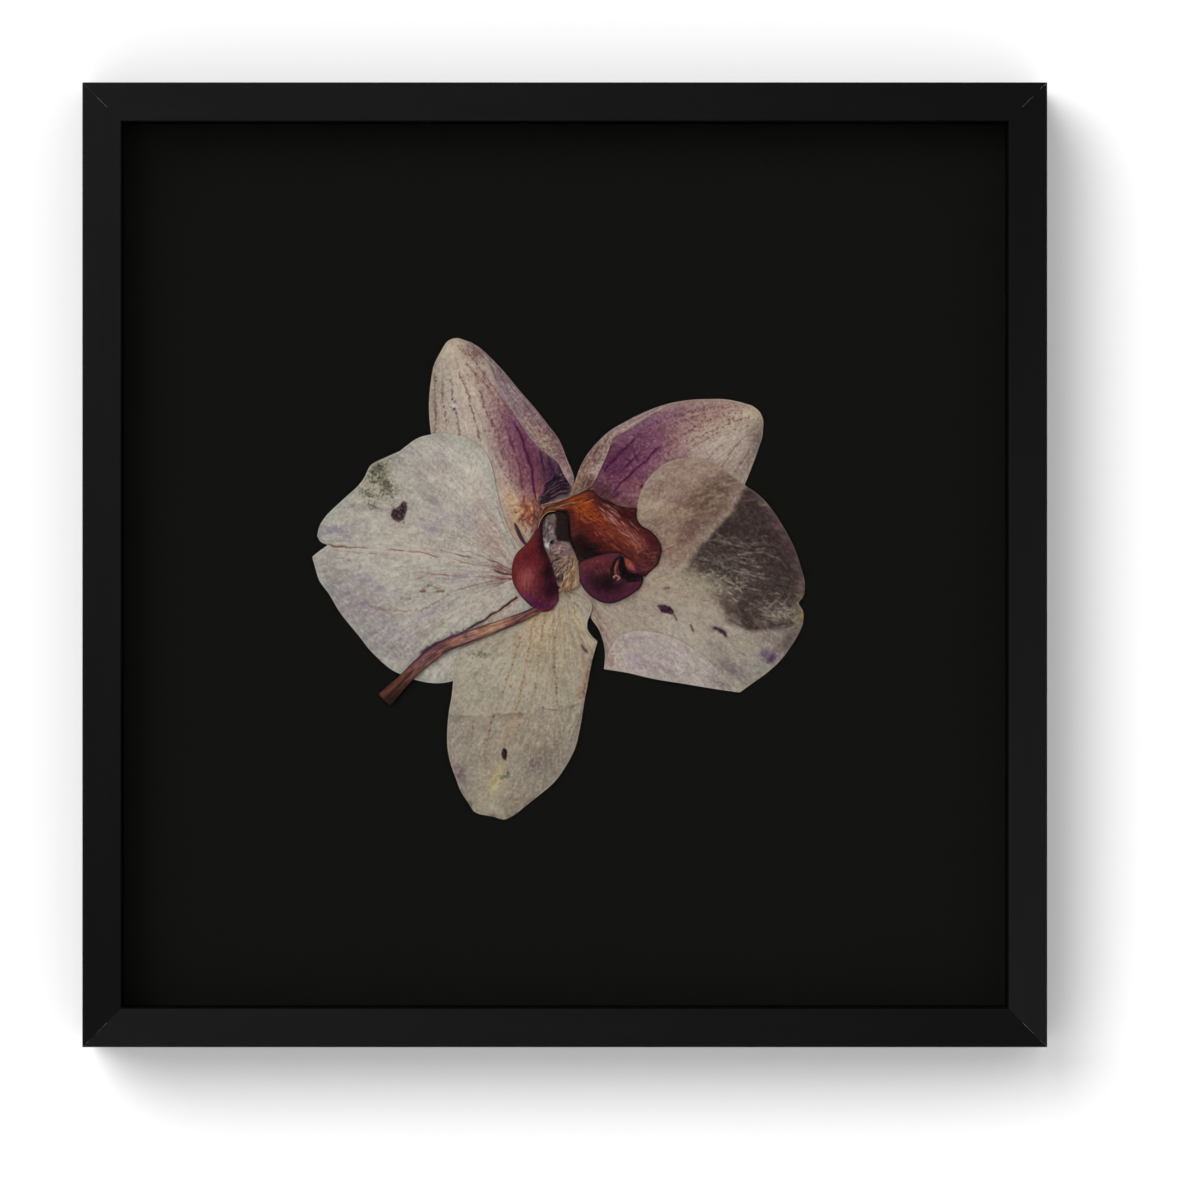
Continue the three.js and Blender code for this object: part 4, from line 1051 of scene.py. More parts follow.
def petal_right():
    """Right petal, its lower margin folded over. The front is a Coons patch between its four sides,
    raised by the flower's slow wave and by its own relief,
    with a rise where it crosses the sepal."""
    s = Skin(
        base=[(637, 518), (625, 540), (600, 560), (575, 572), (560, 580), (564, 588)],
        tip=[
            (733, 477), (746, 486), (760, 496), (773, 511), (784, 528), (794, 547), (800.5, 566),
            (805, 588), (803, 597), (798, 603), (798, 603), (803, 611), (803, 623), (798, 635),
            (792, 645), (780, 661), (767, 673), (753, 683), (740, 692.5),
        ],
        left=[
            (637, 518), (638, 502), (644, 485), (655, 471), (668, 462), (680, 458.5), (692, 457.5),
            (705, 459), (719, 466), (733, 477),
        ],
        right=[
            (564, 588), (575, 592), (587, 606), (591, 618), (599, 630), (603, 641), (605, 653),
            (604, 669), (604, 669), (628, 673), (649, 678), (685, 684), (712, 688.5), (740, 692.5),
        ],
        size=(268, 268),
        tone=(158, 147, 132),
        seed=400,
    )
    s.fanned(572, 582, -0.05)
    s.wash(648, 508, 16, 9, 80, (174, 160, 132), 0.95)
    s.wash(640, 548, 20, 12, -50, (168, 148, 120), 0.7)
    veiled = [(630, 520), (636, 500), (644, 482), (660, 465), (680, 455), (706, 455), (733, 474),
              (747, 485), (738.6, 501), (733, 511), (722, 523), (714, 534), (703, 544.6), (693, 558),
              (676, 566), (664, 556), (655, 540)]
    s.area(veiled, (138, 114, 100), 0.8, 5)
    s.washes(
        (650, 507, 10, 12, 80, (172, 158, 132), 0.85), (662, 482, 20, 13, -40, (142, 116, 106), 0.7),
        (690, 474, 26, 11, 0, (152, 128, 114), 0.8), (700, 500, 24, 12, -40, (116, 92, 80), 0.8),
        (722, 490, 22, 9, -50, (112, 92, 80), 0.8), (712, 516, 22, 7, -50, (104, 82, 70), 0.8),
        (690, 530, 26, 9, -50, (100, 72, 64), 0.9), (700, 500, 26, 12, -40, (100, 74, 62), 0.7),
        (716, 494, 30, 10, -50, (92, 72, 62), 0.75), (682, 508, 12, 8, -30, (112, 82, 72), 0.7),
        (662, 492, 12, 8, -30, (132, 100, 92), 0.7), (668, 545, 26, 8, -54, (150, 122, 102), 0.75),
        (660, 520, 22, 8, -50, (146, 120, 100), 0.7), (682, 556, 20, 7, -40, (144, 116, 98), 0.75),
    )
    veil = np.clip(1.6 * s.soft(684, 500, 56, 34, -40), 0, 1)
    s.blend((170, 144, 118), 0.5 * veil * smooth(s.fibre(7, 41), 0, 0.6))
    s.blend((96, 66, 72), 0.45 * veil * smooth(-s.fibre(8, 45), 0.05, 0.6) * smooth(s.y, 505, 530))
    unveiled = [(747, 486), (738.6, 501), (733, 511), (722, 523), (714, 534), (703, 544.6), (693, 558),
                (682, 574), (694, 582), (711, 590), (722, 604), (728, 622), (749, 631), (771, 631),
                (790, 629), (812, 626), (812, 590), (806, 560), (796, 530), (772, 500)]
    s.area(unveiled, (53, 42, 40), 0.98, 4.5)
    s.area([(747, 486), (739, 501), (733, 511), (722, 523), (714, 534), (703, 545), (696, 556),
            (740, 566), (790, 570), (796, 540), (770, 505)], (52, 40, 39), 0.9, 2.5)
    s.washes(
        (792, 556, 34, 5, 66, (76, 56, 60), 0.75), (779, 524, 24, 5, 52, (84, 62, 66), 0.75),
        (762, 502, 18, 5, 40, (80, 64, 60), 0.7), (690, 578, 18, 9, 10, (138, 122, 102), 0.8),
        (704, 586, 22, 7, 14, (150, 142, 120), 0.8), (694, 600, 30, 8, 0, (164, 150, 132), 0.85),
        (706, 612, 26, 8, 10, (160, 148, 134), 0.8), (732, 604, 18, 8, 30, (74, 60, 56), 0.8),
        (757, 610, 20, 10, 0, (50, 38, 37), 0.9), (790, 612, 14, 8, 0, (62, 54, 46), 0.7),
        (784, 614, 16, 8, 0, (70, 60, 52), 0.8), (716, 596, 8, 5, 30, (104, 96, 82), 0.7),
        (801, 612, 5, 14, 0, (138, 116, 76), 0.85), (801, 590, 5, 8, 0, (110, 92, 72), 0.6),
        (650, 588, 40, 12, -6, (166, 148, 126), 0.75), (592, 608, 24, 7, 60, (150, 130, 114), 0.8),
        (602, 638, 22, 5, 78, (120, 98, 90), 0.85), (610, 640, 16, 5, 80, (146, 120, 112), 0.7),
        (630, 618, 34, 9, 18, (160, 144, 128), 0.7), (690, 632, 40, 10, 20, (170, 160, 146), 0.85),
        (744, 648, 34, 10, 14, (150, 142, 126), 0.85), (716, 646, 14, 6, 40, (140, 126, 122), 0.7),
        (734, 671, 18, 7, 26, (128, 120, 118), 0.85), (788, 641, 20, 8, -46, (74, 64, 60), 0.9),
        (770, 638, 16, 7, -10, (116, 102, 100), 0.7), (730, 670, 20, 8, 26, (112, 102, 102), 0.7),
        (772, 660, 24, 6, -40, (124, 112, 110), 0.75), (756, 676, 22, 6, -34, (138, 138, 124), 0.75),
        (758, 664, 12, 8, 0, (142, 146, 130), 0.6),
    )
    dark_part = np.clip(1.5 * s.soft(750, 562, 62, 46, 40), 0, 1)
    bare = 1 - dark_part
    s.flecks(9, (192, 182, 162), 0.34, mask=bare)
    s.flecks(6, (124, 98, 94), 0.3, 0.2, mask=bare)
    # Pale threads of the thin sheet over the dark board, lying nearly level
    threads = rough(s.wx / 15, s.wy / 3.6, 431, 2)
    finer = rough(s.wx / 8 + 3, s.wy / 2.6, 437, 2)
    patchy = smooth(rough(s.x / 16, s.y / 10, 439), -0.35, 0.35)
    band = np.clip(s.soft(728, 560, 52, 26, 12) + s.soft(774, 610, 30, 22, 0), 0, 1)
    s.blend((110, 98, 88), 0.4 * band * patchy * np.exp(-((threads / 0.1) ** 2)))
    s.blend((96, 82, 76), 0.4 * np.clip(band + 0.25 * dark_part, 0, 1) * np.exp(-((finer / 0.08) ** 2)))
    webs = ((150, 140, 124), (128, 116, 104), (140, 128, 116), (104, 92, 84))
    s.wisps(80, 728, 552, 42, 18, 6, 10, 4, 0.5, webs, 0.45)
    s.wisps(70, 748, 574, 40, 20, 20, 11, 18, 0.5, webs, 0.36)
    s.wisps(60, 712, 580, 28, 11, 14, 9, 10, 0.7, ((164, 156, 134), (150, 140, 120)), 0.75)
    s.wisps(70, 778, 614, 24, 12, 4, 11, 0, 0.55, ((150, 140, 124), (126, 116, 104)), 0.65)
    s.wisps(40, 752, 522, 30, 16, 40, 9, 26, 0.45, webs, 0.4)
    for k in range(9):
        x, y = 700 + s.random.uniform(-6, 40), 536 + 8 * k + s.random.uniform(-3, 3)
        sway = s.random.uniform(-3, 3, 3)
        s.line([(x, y), (x + 16, y + 2 + sway[0]), (x + 34, y + 6 + sway[1]), (x + 54, y + 9 + sway[2])],
               0.8, webs[k % 4], 0.5, 6)
    s.net(4.0, (140, 132, 118), 0.5, s.soft(712, 574, 36, 18, 12), 0.11)
    s.net(3.2, (158, 150, 124), 0.7, s.soft(702, 585, 26, 9, 14), 0.16)
    s.net(4.4, (150, 142, 122), 0.6, s.soft(784, 616, 24, 12, 6), 0.12)
    s.veins(44, 1.55, 2.44, 4, 130, 0.6, (132, 98, 90), 0.34, 14)
    s.veins(30, 2.12, 2.44, 10, 190, 0.7, (192, 182, 164), 0.4, 18)
    s.veins(16, 1.62, 1.84, 60, 130, 0.65, (104, 66, 64), 0.5, 8)
    s.lines(
        ([(707, 541), (722, 537), (738, 540), (752, 548)], 0.8, (142, 130, 118), 0.6, 5),
        ([(736, 556), (750, 552), (766, 554), (782, 561)], 0.8, (150, 138, 122), 0.7, 5),
        ([(716, 550), (734, 560), (756, 566), (780, 572)], 0.8, (136, 126, 112), 0.6, 5),
        ([(700, 556), (722, 566), (748, 575), (770, 580)], 0.9, (144, 134, 118), 0.6, 5),
    )
    s.area([(657, 606.5), (664, 604.5), (671, 607), (675, 612.5), (672, 615), (667, 613.5), (661, 612)],
           (46, 24, 40), 1.0, 1.0)
    s.lines(
        ([(671, 611), (675, 616), (678, 621)], 0.8, (66, 42, 48), 0.9, 0, 0, 2),
        ([(690, 624), (692, 629), (694.5, 634)], 1.0, (66, 44, 44), 0.9, 0, 0, 2),
        ([(713, 626.5), (721, 630), (727.5, 637)], 1.8, (46, 24, 38), 1.0, 0, 0, 2),
    )
    s.wash(721.5, 631, 3, 2, 40, (44, 24, 36), 0.95)
    s.scatter(30, 664, 608, 9, 4, 10, 0.7, (84, 58, 68), 0.7)
    s.scatter(20, 721, 631, 6, 4, 40, 0.7, (84, 58, 68), 0.7)
    s.washes(
        (768, 657, 9, 6, 20, (112, 92, 110), 0.8), (771, 658, 4, 3, -30, (64, 38, 66), 0.9),
        (764, 652, 4, 2.4, -30, (84, 60, 84), 0.7),
    )
    s.scatter(40, 768, 657, 8, 6, 0, 0.9, (80, 54, 82), 0.7)
    s.line([(664, 590), (671, 587)], 0.9, (84, 60, 52), 0.8, fade=2)
    s.lines(
        ([(660, 553), (668, 549), (674, 546)], 0.7, (120, 66, 44), 0.8),
        ([(662, 570), (676, 566), (690, 563)], 0.7, (118, 68, 66), 0.6, 5),
        ([(652, 580), (668, 574), (682, 571)], 0.7, (130, 80, 74), 0.55, 6),
        ([(680, 597), (700, 598), (716, 600)], 0.8, (140, 90, 84), 0.6, 6),
        ([(700, 600), (722, 606), (740, 612)], 0.7, (120, 84, 86), 0.5, 6),
        ([(566, 590), (578, 598), (588, 610), (592, 620)], 0.9, (54, 40, 36), 0.85, 0, 0.06),
        ([(570, 589), (583, 599), (595, 614), (602, 632)], 0.8, (92, 70, 62), 0.7, 9),
        ([(576, 590), (590, 602), (602, 620), (608, 640)], 0.7, (104, 80, 72), 0.6, 9),
    )
    s.trail([(598, 630), (603, 645), (605, 665)], 2.4, 0.9, (96, 62, 70), 0.8, 1.0)
    s.grain((196, 186, 168), (112, 96, 90), 0.34, 0.5)
    s.scatters(
        (160, 690, 510, 34, 22, -40, 0.6, (112, 84, 78), 0.5),
        (160, 670, 600, 60, 18, 10, 0.6, (124, 92, 90), 0.55),
        (120, 740, 560, 50, 30, 40, 0.7, (34, 28, 28), 0.6),
        (100, 742, 664, 24, 10, -20, 0.9, (112, 98, 112), 0.5),
    )
    s.speckle(0.12, (108, 84, 78), 0.35, 0.7 * bare)
    s.relief += 0.03 * s.fibre(26, 90) + 0.04 * dark_part * rough(s.x / 6, s.y / 6, 31)
    s.rimmed((160, 146, 132), 0.3, None)
    s.tone *= 0.974
    rise = 0.3 * oval(s.x, s.y, 23, 18, 30, 18, 0.563)

    flap = Skin(
        base=[(604, 669), (605, 665), (606.5, 660)],
        tip=[(740, 692.5), (738, 690.5), (736, 688.5)],
        left=[(604, 669), (628, 673), (649, 678), (685, 684), (712, 688.5), (740, 692.5)],
        right=[
            (606.5, 660), (610, 650), (616, 640), (628, 633), (643.8, 631), (660, 633.8), (676, 639),
            (695, 650), (711, 663.5), (725, 678), (736, 688.5),
        ],
        size=(67, 199),
        tone=(164, 153, 146),
        seed=440,
    )
    flap.washes(
        (620, 655, 22, 10, -40, (170, 160, 146), 0.8), (642, 642, 26, 8, 4, (162, 148, 144), 0.7),
        (660, 652, 20, 8, 10, (160, 150, 142), 0.6), (655, 668, 24, 6, 8, (150, 136, 136), 0.8),
        (690, 662, 20, 8, 30, (164, 152, 144), 0.7), (704, 680, 24, 5, 12, (158, 148, 136), 0.8),
        (724, 684, 16, 6, 30, (122, 110, 106), 0.8), (660, 670, 20, 5, 8, (146, 132, 130), 0.7),
        (638, 660, 9, 6, 40, (148, 130, 144), 0.6), (668, 660, 9, 4, 20, (146, 130, 142), 0.5),
        (630, 638, 12, 3, -14, (150, 132, 138), 0.6), (610, 662, 7, 8, 0, (140, 112, 104), 0.7),
    )
    flap.fanned(572, 582, -0.05)
    flap.flecks(8, (198, 190, 178), 0.4)
    flap.flecks(6, (132, 112, 114), 0.3, 0.2)
    flap.veins(14, 0.05, 0.62, 40, 190, 0.6, (140, 112, 112), 0.35, 8)
    flap.line([(688, 676), (700, 668), (712, 662)], 0.7, (150, 116, 96), 0.4, 4)
    flap.scatter(60, 612, 656, 12, 7, -50, 0.8, (120, 88, 88), 0.6)
    flap.scatter(60, 660, 660, 50, 16, 10, 0.7, (136, 112, 122), 0.5)
    flap.grain((204, 194, 184), (124, 110, 106), 0.34)
    flap.rimmed((178, 170, 160), 0.45)
    flap_rise = 0.3 * oval(flap.x, flap.y, 23, 18, 30, 18, 0.563)
    shells = [s.shell(0.15 + rise, 0.18), flap.shell(0.38 + flap_rise, 0.1)]
    return mesh_object("right_petal", shells, petal_tissue, "petal_tissue", "petal_right")


def sepal_lower():
    """Lower sepal, with a ledge across it drawn mostly in painted highlight and shade. The front is a Coons
    patch between its four sides, raised by the flower's slow wave and by its own relief,
    climbing over the left petal."""
    s = Skin(
        base=[(546, 600), (556, 590), (570, 586)],
        tip=[
            (469, 803), (473.5, 811), (479, 814), (487, 815.5), (494, 817), (504, 819.5), (514, 815),
            (525, 806.5),
        ],
        left=[
            (546, 600), (530, 612), (505, 626), (480, 640), (460, 650), (460, 650), (455, 666),
            (453, 682.5), (451.5, 697), (449, 711), (447.4, 728), (447.4, 747), (450.5, 763.5),
            (456.5, 780), (461, 792), (469, 803),
        ],
        right=[
            (570, 586), (584, 595), (592, 606), (590, 615), (587.5, 622), (587.5, 629), (591.5, 635.5),
            (597.5, 641.5), (597.5, 641.5), (592, 661), (587.5, 685), (584, 704), (580, 728),
            (575.5, 747), (566, 766), (554, 782.5), (540, 794.5), (525, 806.5),
        ],
        size=(223, 331),
        tone=(156, 147, 130),
        seed=500,
    )
    s.fanned(564, 584, 0.0)
    s.washes(
        (540, 622, 36, 16, 66, (176, 158, 134), 0.9), (520, 645, 24, 12, -20, (166, 152, 132), 0.7),
        (568, 614, 20, 10, 50, (160, 150, 132), 0.8), (575, 632, 16, 8, 60, (142, 130, 114), 0.7),
        (470, 664, 22, 14, 0, (168, 162, 146), 0.8), (500, 668, 30, 12, -10, (166, 160, 142), 0.7),
        (520, 680, 22, 18, 80, (172, 164, 144), 0.75), (480, 692, 24, 18, 0, (158, 154, 138), 0.7),
        (545, 672, 26, 12, 90, (160, 150, 128), 0.75), (562, 690, 12, 18, 0, (150, 142, 124), 0.7),
        (582, 650, 12, 7, 100, (128, 114, 102), 0.8), (591, 662, 22, 3.6, 98, (142, 122, 112), 0.8),
        (585, 690, 24, 3.6, 100, (126, 92, 80), 0.9), (580, 700, 14, 5, 100, (148, 112, 84), 0.6),
    )
    lower = [(440, 712), (462, 716), (482, 715), (500, 714), (514, 713), (528, 711), (540, 707.5),
             (556, 708), (570, 704), (590, 700), (590, 790), (530, 830), (446, 800)]
    s.area(lower, (138, 128, 114), 0.85, 2.6)
    s.washes(
        (480, 728, 26, 8, 0, (146, 136, 124), 0.6), (505, 732, 14, 18, 0, (154, 144, 126), 0.6),
        (565, 728, 14, 12, 100, (138, 128, 112), 0.8), (520, 742, 16, 10, 90, (138, 128, 112), 0.6),
        (548, 728, 18, 10, 100, (144, 134, 120), 0.7), (556, 752, 22, 12, 110, (122, 112, 100), 0.85),
        (538, 765, 18, 12, 100, (116, 106, 96), 0.85), (462, 738, 22, 10, 80, (134, 125, 115), 0.7),
        (459, 774, 12, 6, 60, (104, 88, 94), 0.9), (478, 770, 16, 10, 60, (144, 134, 116), 0.7),
        (496, 782, 24, 9, -70, (160, 150, 118), 0.85), (490, 806, 20, 8, 0, (152, 144, 124), 0.8),
        (520, 790, 24, 12, -50, (136, 126, 110), 0.7), (516, 803, 14, 7, -30, (122, 108, 94), 0.8),
        (545, 785, 22, 6, -46, (124, 116, 104), 0.8),
    )
    top = 1 - smooth(s.y, 640, 715)
    s.flecks(9, (192, 184, 160), 0.3)
    s.flecks(6, (124, 106, 92), 0.26, 0.2)
    s.blend((190, 164, 118), 0.4 * top * smooth(s.fibre(30, 41), 0.1, 0.5) * smooth(s.x, 500, 530))
    s.blend((124, 98, 76), 0.25 * top * smooth(-s.fibre(26, 47), 0.2, 0.6) * smooth(s.x, 500, 530))
    s.veins(17, 0.34, 0.78, 2, 100, 0.8, (200, 174, 124), 0.45)
    s.veins(22, 0.36, 0.78, 2, 80, 0.6, (112, 82, 62), 0.4, 9)
    s.veins(26, 0.36, 0.78, 60, 225, 0.6, (178, 154, 114), 0.32, 18)
    s.veins(22, 0.38, 0.78, 60, 225, 0.55, (122, 96, 84), 0.3, 8)
    brown = (104, 66, 52)
    dotted = (
        ([(520, 640), (511, 668), (502, 695), (492, 721), (487, 747)], brown, 1.0),
        ([(537, 606), (530, 640), (523, 680), (513.6, 718), (504, 746)], (128, 84, 46), 1.0),
        ([(545, 609), (540, 656), (533, 697), (527, 720)], (118, 82, 54), 0.8),
        ([(554, 604), (554, 656), (556.5, 692), (557.5, 707)], (96, 62, 54), 0.9),
        ([(561, 602), (565, 650), (564, 690)], (118, 92, 76), 0.6),
        ([(473, 718), (472, 749)], (98, 64, 56), 0.8),
        ([(552, 718), (548, 735), (544, 752)], brown, 0.9),
        ([(532, 735), (528, 745), (524, 756)], brown, 0.5),
        ([(500, 640), (488, 668), (480, 700)], (128, 106, 88), 0.5),
        ([(486, 738), (486, 750), (485, 764)], brown, 0.8),
        ([(520, 712), (514, 738), (508, 744)], (140, 96, 56), 0.8),
    )
    for path, tone, much in dotted:
        s.trail(path, 2.5, 0.95, tone, 0.95 * much, 0.6)
        s.line(path, 0.8, (150, 116, 84), 0.5 * much, 6)
    s.lines(
        ([(516, 712), (511, 728), (506, 745)], 1.7, (164, 128, 78), 0.6, 7),
        ([(502, 762), (497, 776), (493, 794)], 3.2, (176, 158, 110), 0.6),
        ([(500, 766), (497, 776), (495, 786)], 1.1, (146, 112, 64), 0.7, 5),
    )
    for k in range(8):
        x, y = 558 + 2.6 * k, 764 - 5 * k
        path = [(x, y), (x + 6, y - 20), (x + 11, y - 38), (x + 15, y - 52)]
        s.line(path, 0.7, (178, 170, 148), 0.45, 12, -0.02)
        s.line([(x + 1.4, y), (x + 7, y - 20), (x + 12, y - 38)], 0.6, (90, 80, 68), 0.6, 9)
    # The ledge: a pale line just above it is painted highlight, a darker line just below it painted shade
    ledge = [(446, 713), (470, 716), (500, 713.5), (520, 712), (540, 707.5), (556, 708.5), (583, 701.5)]
    s.lines(
        ([(x, y - 1.2) for x, y in ledge], 1.3, (176, 166, 148), 0.5, 11, -0.04),
        ([(x, y + 1.4) for x, y in ledge], 1.1, (112, 100, 90), 0.4, 11),
        ([(540, 708), (560, 709), (580, 704)], 0.7, (104, 90, 82), 0.5, 5),
    )
    s.area([(580, 644.5), (583, 646), (587, 652.5), (585, 653), (582, 649)], (66, 40, 42), 0.9, 0.9)
    s.line([(586, 629), (592, 637), (597, 642)], 1.0, (120, 104, 96), 0.5)
    s.trail([(592, 655), (589, 672), (585, 690), (583, 704)], 1.8, 1.0, (92, 52, 56), 0.8, 1.0)
    s.trail([(588, 660), (586, 680), (582, 700)], 2.2, 0.9, (168, 118, 72), 0.7, 1.0)
    s.area([(503, 749), (506, 749.5), (507.5, 753), (507, 758), (504.5, 761), (502, 758.5), (501.3, 753)],
           (30, 15, 20), 1.0, 0.9)
    s.scatter(16, 504, 755, 4, 6, 90, 0.8, (70, 46, 44), 0.7)
    s.dot(510.5, 686.5, 1.2, (88, 76, 60), 0.9)
    s.dot(543, 707.5, 1.1, (92, 62, 54), 0.9)
    s.dot(527, 699, 0.9, (112, 84, 64), 0.8)
    s.scatters(
        (120, 480, 654, 9, 3.5, 6, 0.7, (82, 82, 64), 0.75),
        (40, 478, 682, 6, 3, 0, 0.7, (122, 122, 104), 0.6),
        (30, 505, 776, 5, 3, -50, 0.7, (70, 72, 56), 0.85),
        (50, 533, 763, 4, 5, 0, 0.9, (104, 84, 92), 0.6),
        (26, 519, 643, 4, 6, 20, 0.7, (120, 82, 56), 0.7),
    )
    s.line([(563, 592), (575, 603), (586, 616)], 1.0, (84, 72, 64), 0.5, 6)
    s.grain((192, 184, 162), (112, 98, 86), 0.34, 0.5)
    s.scatters(
        (200, 545, 650, 46, 18, 80, 0.6, (126, 92, 66), 0.6),
        (120, 540, 740, 30, 24, 80, 0.65, (104, 82, 72), 0.6),
        (80, 470, 730, 30, 16, 80, 0.6, (112, 96, 84), 0.5),
    )
    s.speckle(0.13, (112, 88, 66), 0.4, 0.8 + 0 * s.x)
    s.rimmed((170, 162, 146), 0.35, (112, 100, 88))
    ragged = np.exp(-((s.edge / 3) ** 2)) * smooth(s.y, 780, 800)
    s.blend((104, 88, 76), 0.7 * ragged * smooth(noise(s.x / 3, s.y / 3, 515), -0.1, 0.4))
    s.relief += 0.03 * s.fibre(26, 90)
    climb = smooth((MIDDLE - s.y) * SQUARE / MM, -32, -26)
    shells = [s.shell(0.15 + 0.35 * climb, 0.18)]
    return mesh_object("lower_sepal", shells, petal_tissue, "petal_tissue", "sepal_lower")


def pillow(s, high, power=0.3):
    """Swells the patch: full height inside, rounding down to nothing at its rim."""
    edge = 16 * s.u * (1 - s.u) * s.v * (1 - s.v)
    s.relief += high * np.clip(edge, 0, 1) ** power


def mottled(tone, swing, seed):
    """Tone of a rod with a painted highlight on top, and with darker and paler places along it."""

    def at(along, side, up):
        """Tone at a place: the given one, times 1, plus 0.2 on top as painted highlight, plus a noise."""
        shade = 1 + 0.2 * up + swing * noise(along * 12, 3 * side, seed)
        return np.stack([part * shade for part in tone], -1)

    return at


def strand(points, wide, tone, height, flat=0.18):
    """Thin fibre along a curve, tapering to both ends, at a height that may fall or rise."""
    count = 24
    path = curve(points, count)
    taper = np.sin(np.linspace(0.12, np.pi - 0.12, count)) ** 0.5
    rise = np.linspace(*height, count) if isinstance(height, tuple) else np.full(count, height)
    rise = rise + 0.06 * np.sin(np.linspace(0, 5, count) + path[0, 0])
    return tube(np.column_stack([path, rise]), wide * taper, wide * taper * flat, tone, 8)


def lip():
    """Lip: dark throat, middle lobe and two side lobes as Coons patches swollen by pillow, and
    folds and a fin at its claw as tapered rods."""
    throat = Skin(
        base=[(541, 516), (552, 508), (562, 508), (572, 512)],
        tip=[(552, 584), (559, 585), (568, 584), (577, 578)],
        left=[(541, 516), (537, 530), (540, 552), (546, 572), (552, 584)],
        right=[(572, 512), (580, 530), (584, 550), (584, 566), (577, 578)],
        size=(31, 61),
        tone=(38, 24, 22),
        seed=580,
    )
    throat.grain((62, 40, 36), (20, 12, 12), 0.5)

    middle = Skin(
        base=[
            (541, 519), (546, 514), (556, 511), (566, 512), (569, 522), (570, 534), (573, 546),
            (580, 556),
        ],
        tip=[
            (637, 508), (637, 518), (641, 525), (650, 530.5), (657, 537.5), (661.5, 546.5),
            (660.5, 557), (657.5, 565), (652, 570), (645, 577),
        ],
        left=[
            (541, 519), (544, 509), (559, 502), (573, 496), (592, 490), (603, 500), (614, 504.5),
            (625, 507), (637, 508),
        ],
        right=[
            (580, 556), (588, 559), (596, 557), (606, 553.5), (616, 552.5), (625, 556), (631, 563),
            (636, 571), (645, 577),
        ],
        size=(169, 196),
        tone=(108, 52, 36),
        seed=600,
    )
    # The near-black washes at (583, 549), (590, 553) and (575, 543) are painted shade in the hollow that
    # the relief sinks below
    middle.washes(
        (600, 530, 60, 40, 38, (92, 40, 30), 0.9), (552, 509, 12, 4, -24, (84, 52, 38), 0.9),
        (566, 503, 12, 4, -20, (118, 72, 44), 0.8), (582, 503, 15, 8, 24, (158, 76, 20), 0.97),
        (588, 512, 22, 6, 44, (136, 60, 18), 0.95), (612, 534, 20, 4, 42, (118, 52, 26), 0.6),
        (576, 518, 12, 9, 40, (104, 44, 24), 0.9), (584, 532, 24, 11, 44, (82, 28, 22), 0.97),
        (607, 532, 26, 6, 38, (98, 46, 34), 0.8), (616, 546, 26, 5, 36, (84, 38, 34), 0.85),
        (600, 546, 16, 7, 20, (74, 28, 26), 0.85), (626, 513, 28, 9, 26, (46, 14, 16), 1.0),
        (608, 505, 22, 6, 24, (58, 22, 20), 0.95), (600, 498, 12, 3.5, 34, (62, 26, 24), 0.9),
        (640, 526, 18, 5, 44, (66, 30, 30), 0.95), (652, 540, 20, 6, 54, (58, 24, 26), 0.95),
        (658, 556, 14, 3.5, 96, (58, 28, 30), 0.9), (647, 558, 16, 12, 60, (76, 40, 40), 0.95),
        (630, 556, 14, 5, 40, (92, 42, 34), 0.8), (640, 571, 12, 4, 40, (64, 32, 32), 0.9),
        (632, 540, 18, 5, 44, (118, 78, 76), 0.7), (612, 519, 16, 4, 42, (114, 66, 60), 0.7),
        (583, 549, 17, 11, 30, (24, 12, 12), 1.0), (590, 553, 14, 8, 10, (22, 11, 12), 1.0),
        (575, 543, 8, 11, 40, (30, 16, 15), 0.95), (571, 528, 3.5, 16, -6, (58, 28, 20), 0.9),
        (560, 512, 12, 3, 0, (40, 24, 20), 0.8),
    )
    # Shine of the glazed lobe as pale red strokes along its length
    for k in range(64):
        off = middle.random.normal(0, 4.2)
        start = middle.random.uniform(0, 0.85)
        end = start + middle.random.uniform(0.06, 0.2)
        ridge = np.array([(600 + 0.7 * off, 505 - 0.7 * off), (616 + 0.7 * off, 520 - 0.7 * off),
                          (632 + 0.8 * off, 535 - 0.6 * off), (646 + off, 553 - 0.3 * off)])
        path = curve(ridge, 61)[int(60 * start):int(60 * min(end, 1)) + 1]
        pale = (196, 160, 160) if k % 3 else (160, 104, 92)
        middle.line(path, 0.4, pale, 0.5, 0, -0.02, 2)
    for k in range(70):
        x = middle.random.uniform(572, 640)
        y = 500 + 0.72 * (x - 572) + middle.random.normal(4, 9)
        long = middle.random.uniform(5, 14)
        path = [(x, y), (x + 0.4 * long, y + 0.33 * long), (x + 0.8 * long, y + 0.58 * long)]
        tone, groove = ((56, 20, 18), 0.02) if k % 2 else ((182, 112, 60), -0.02)
        middle.line(path, 0.55, tone, 0.5, 0, groove, 2)
    for k in range(26):
        x = middle.random.uniform(632, 656)
        y = middle.random.uniform(546, 572)
        tone = (150, 108, 100) if k % 2 else (48, 24, 26)
        middle.line([(x, y), (x + 3, y - 1.6), (x + 6, y - 1)], 0.5, tone, 0.6, 0, 0, 1)
    for k in range(22):
        x = middle.random.uniform(544, 584)
        y = 518 - 0.34 * (x - 544) - middle.random.uniform(0, 8)
        middle.line([(x, y), (x + 6, y - 3), (x + 13, y - 4.4)], 0.55,
                    (162, 116, 76) if k % 2 else (50, 30, 24), 0.7, 0, 0, 2)
    middle.grain((150, 90, 64), (44, 18, 18), 0.3)
    middle.net(2.6, (48, 20, 20), 0.45, middle.soft(646, 558, 14, 16), 0.12)
    middle.brighten(1.02)
    middle.tone -= (6, 6, 3)
    middle.rimmed((34, 16, 16), 0.8, None, 1.6)
    pillow(middle, 1.1)
    middle.relief += 0.05 * middle.fibre(24, 90)
    middle.relief -= 0.7 * middle.soft(584, 552, 13, 8, 20)

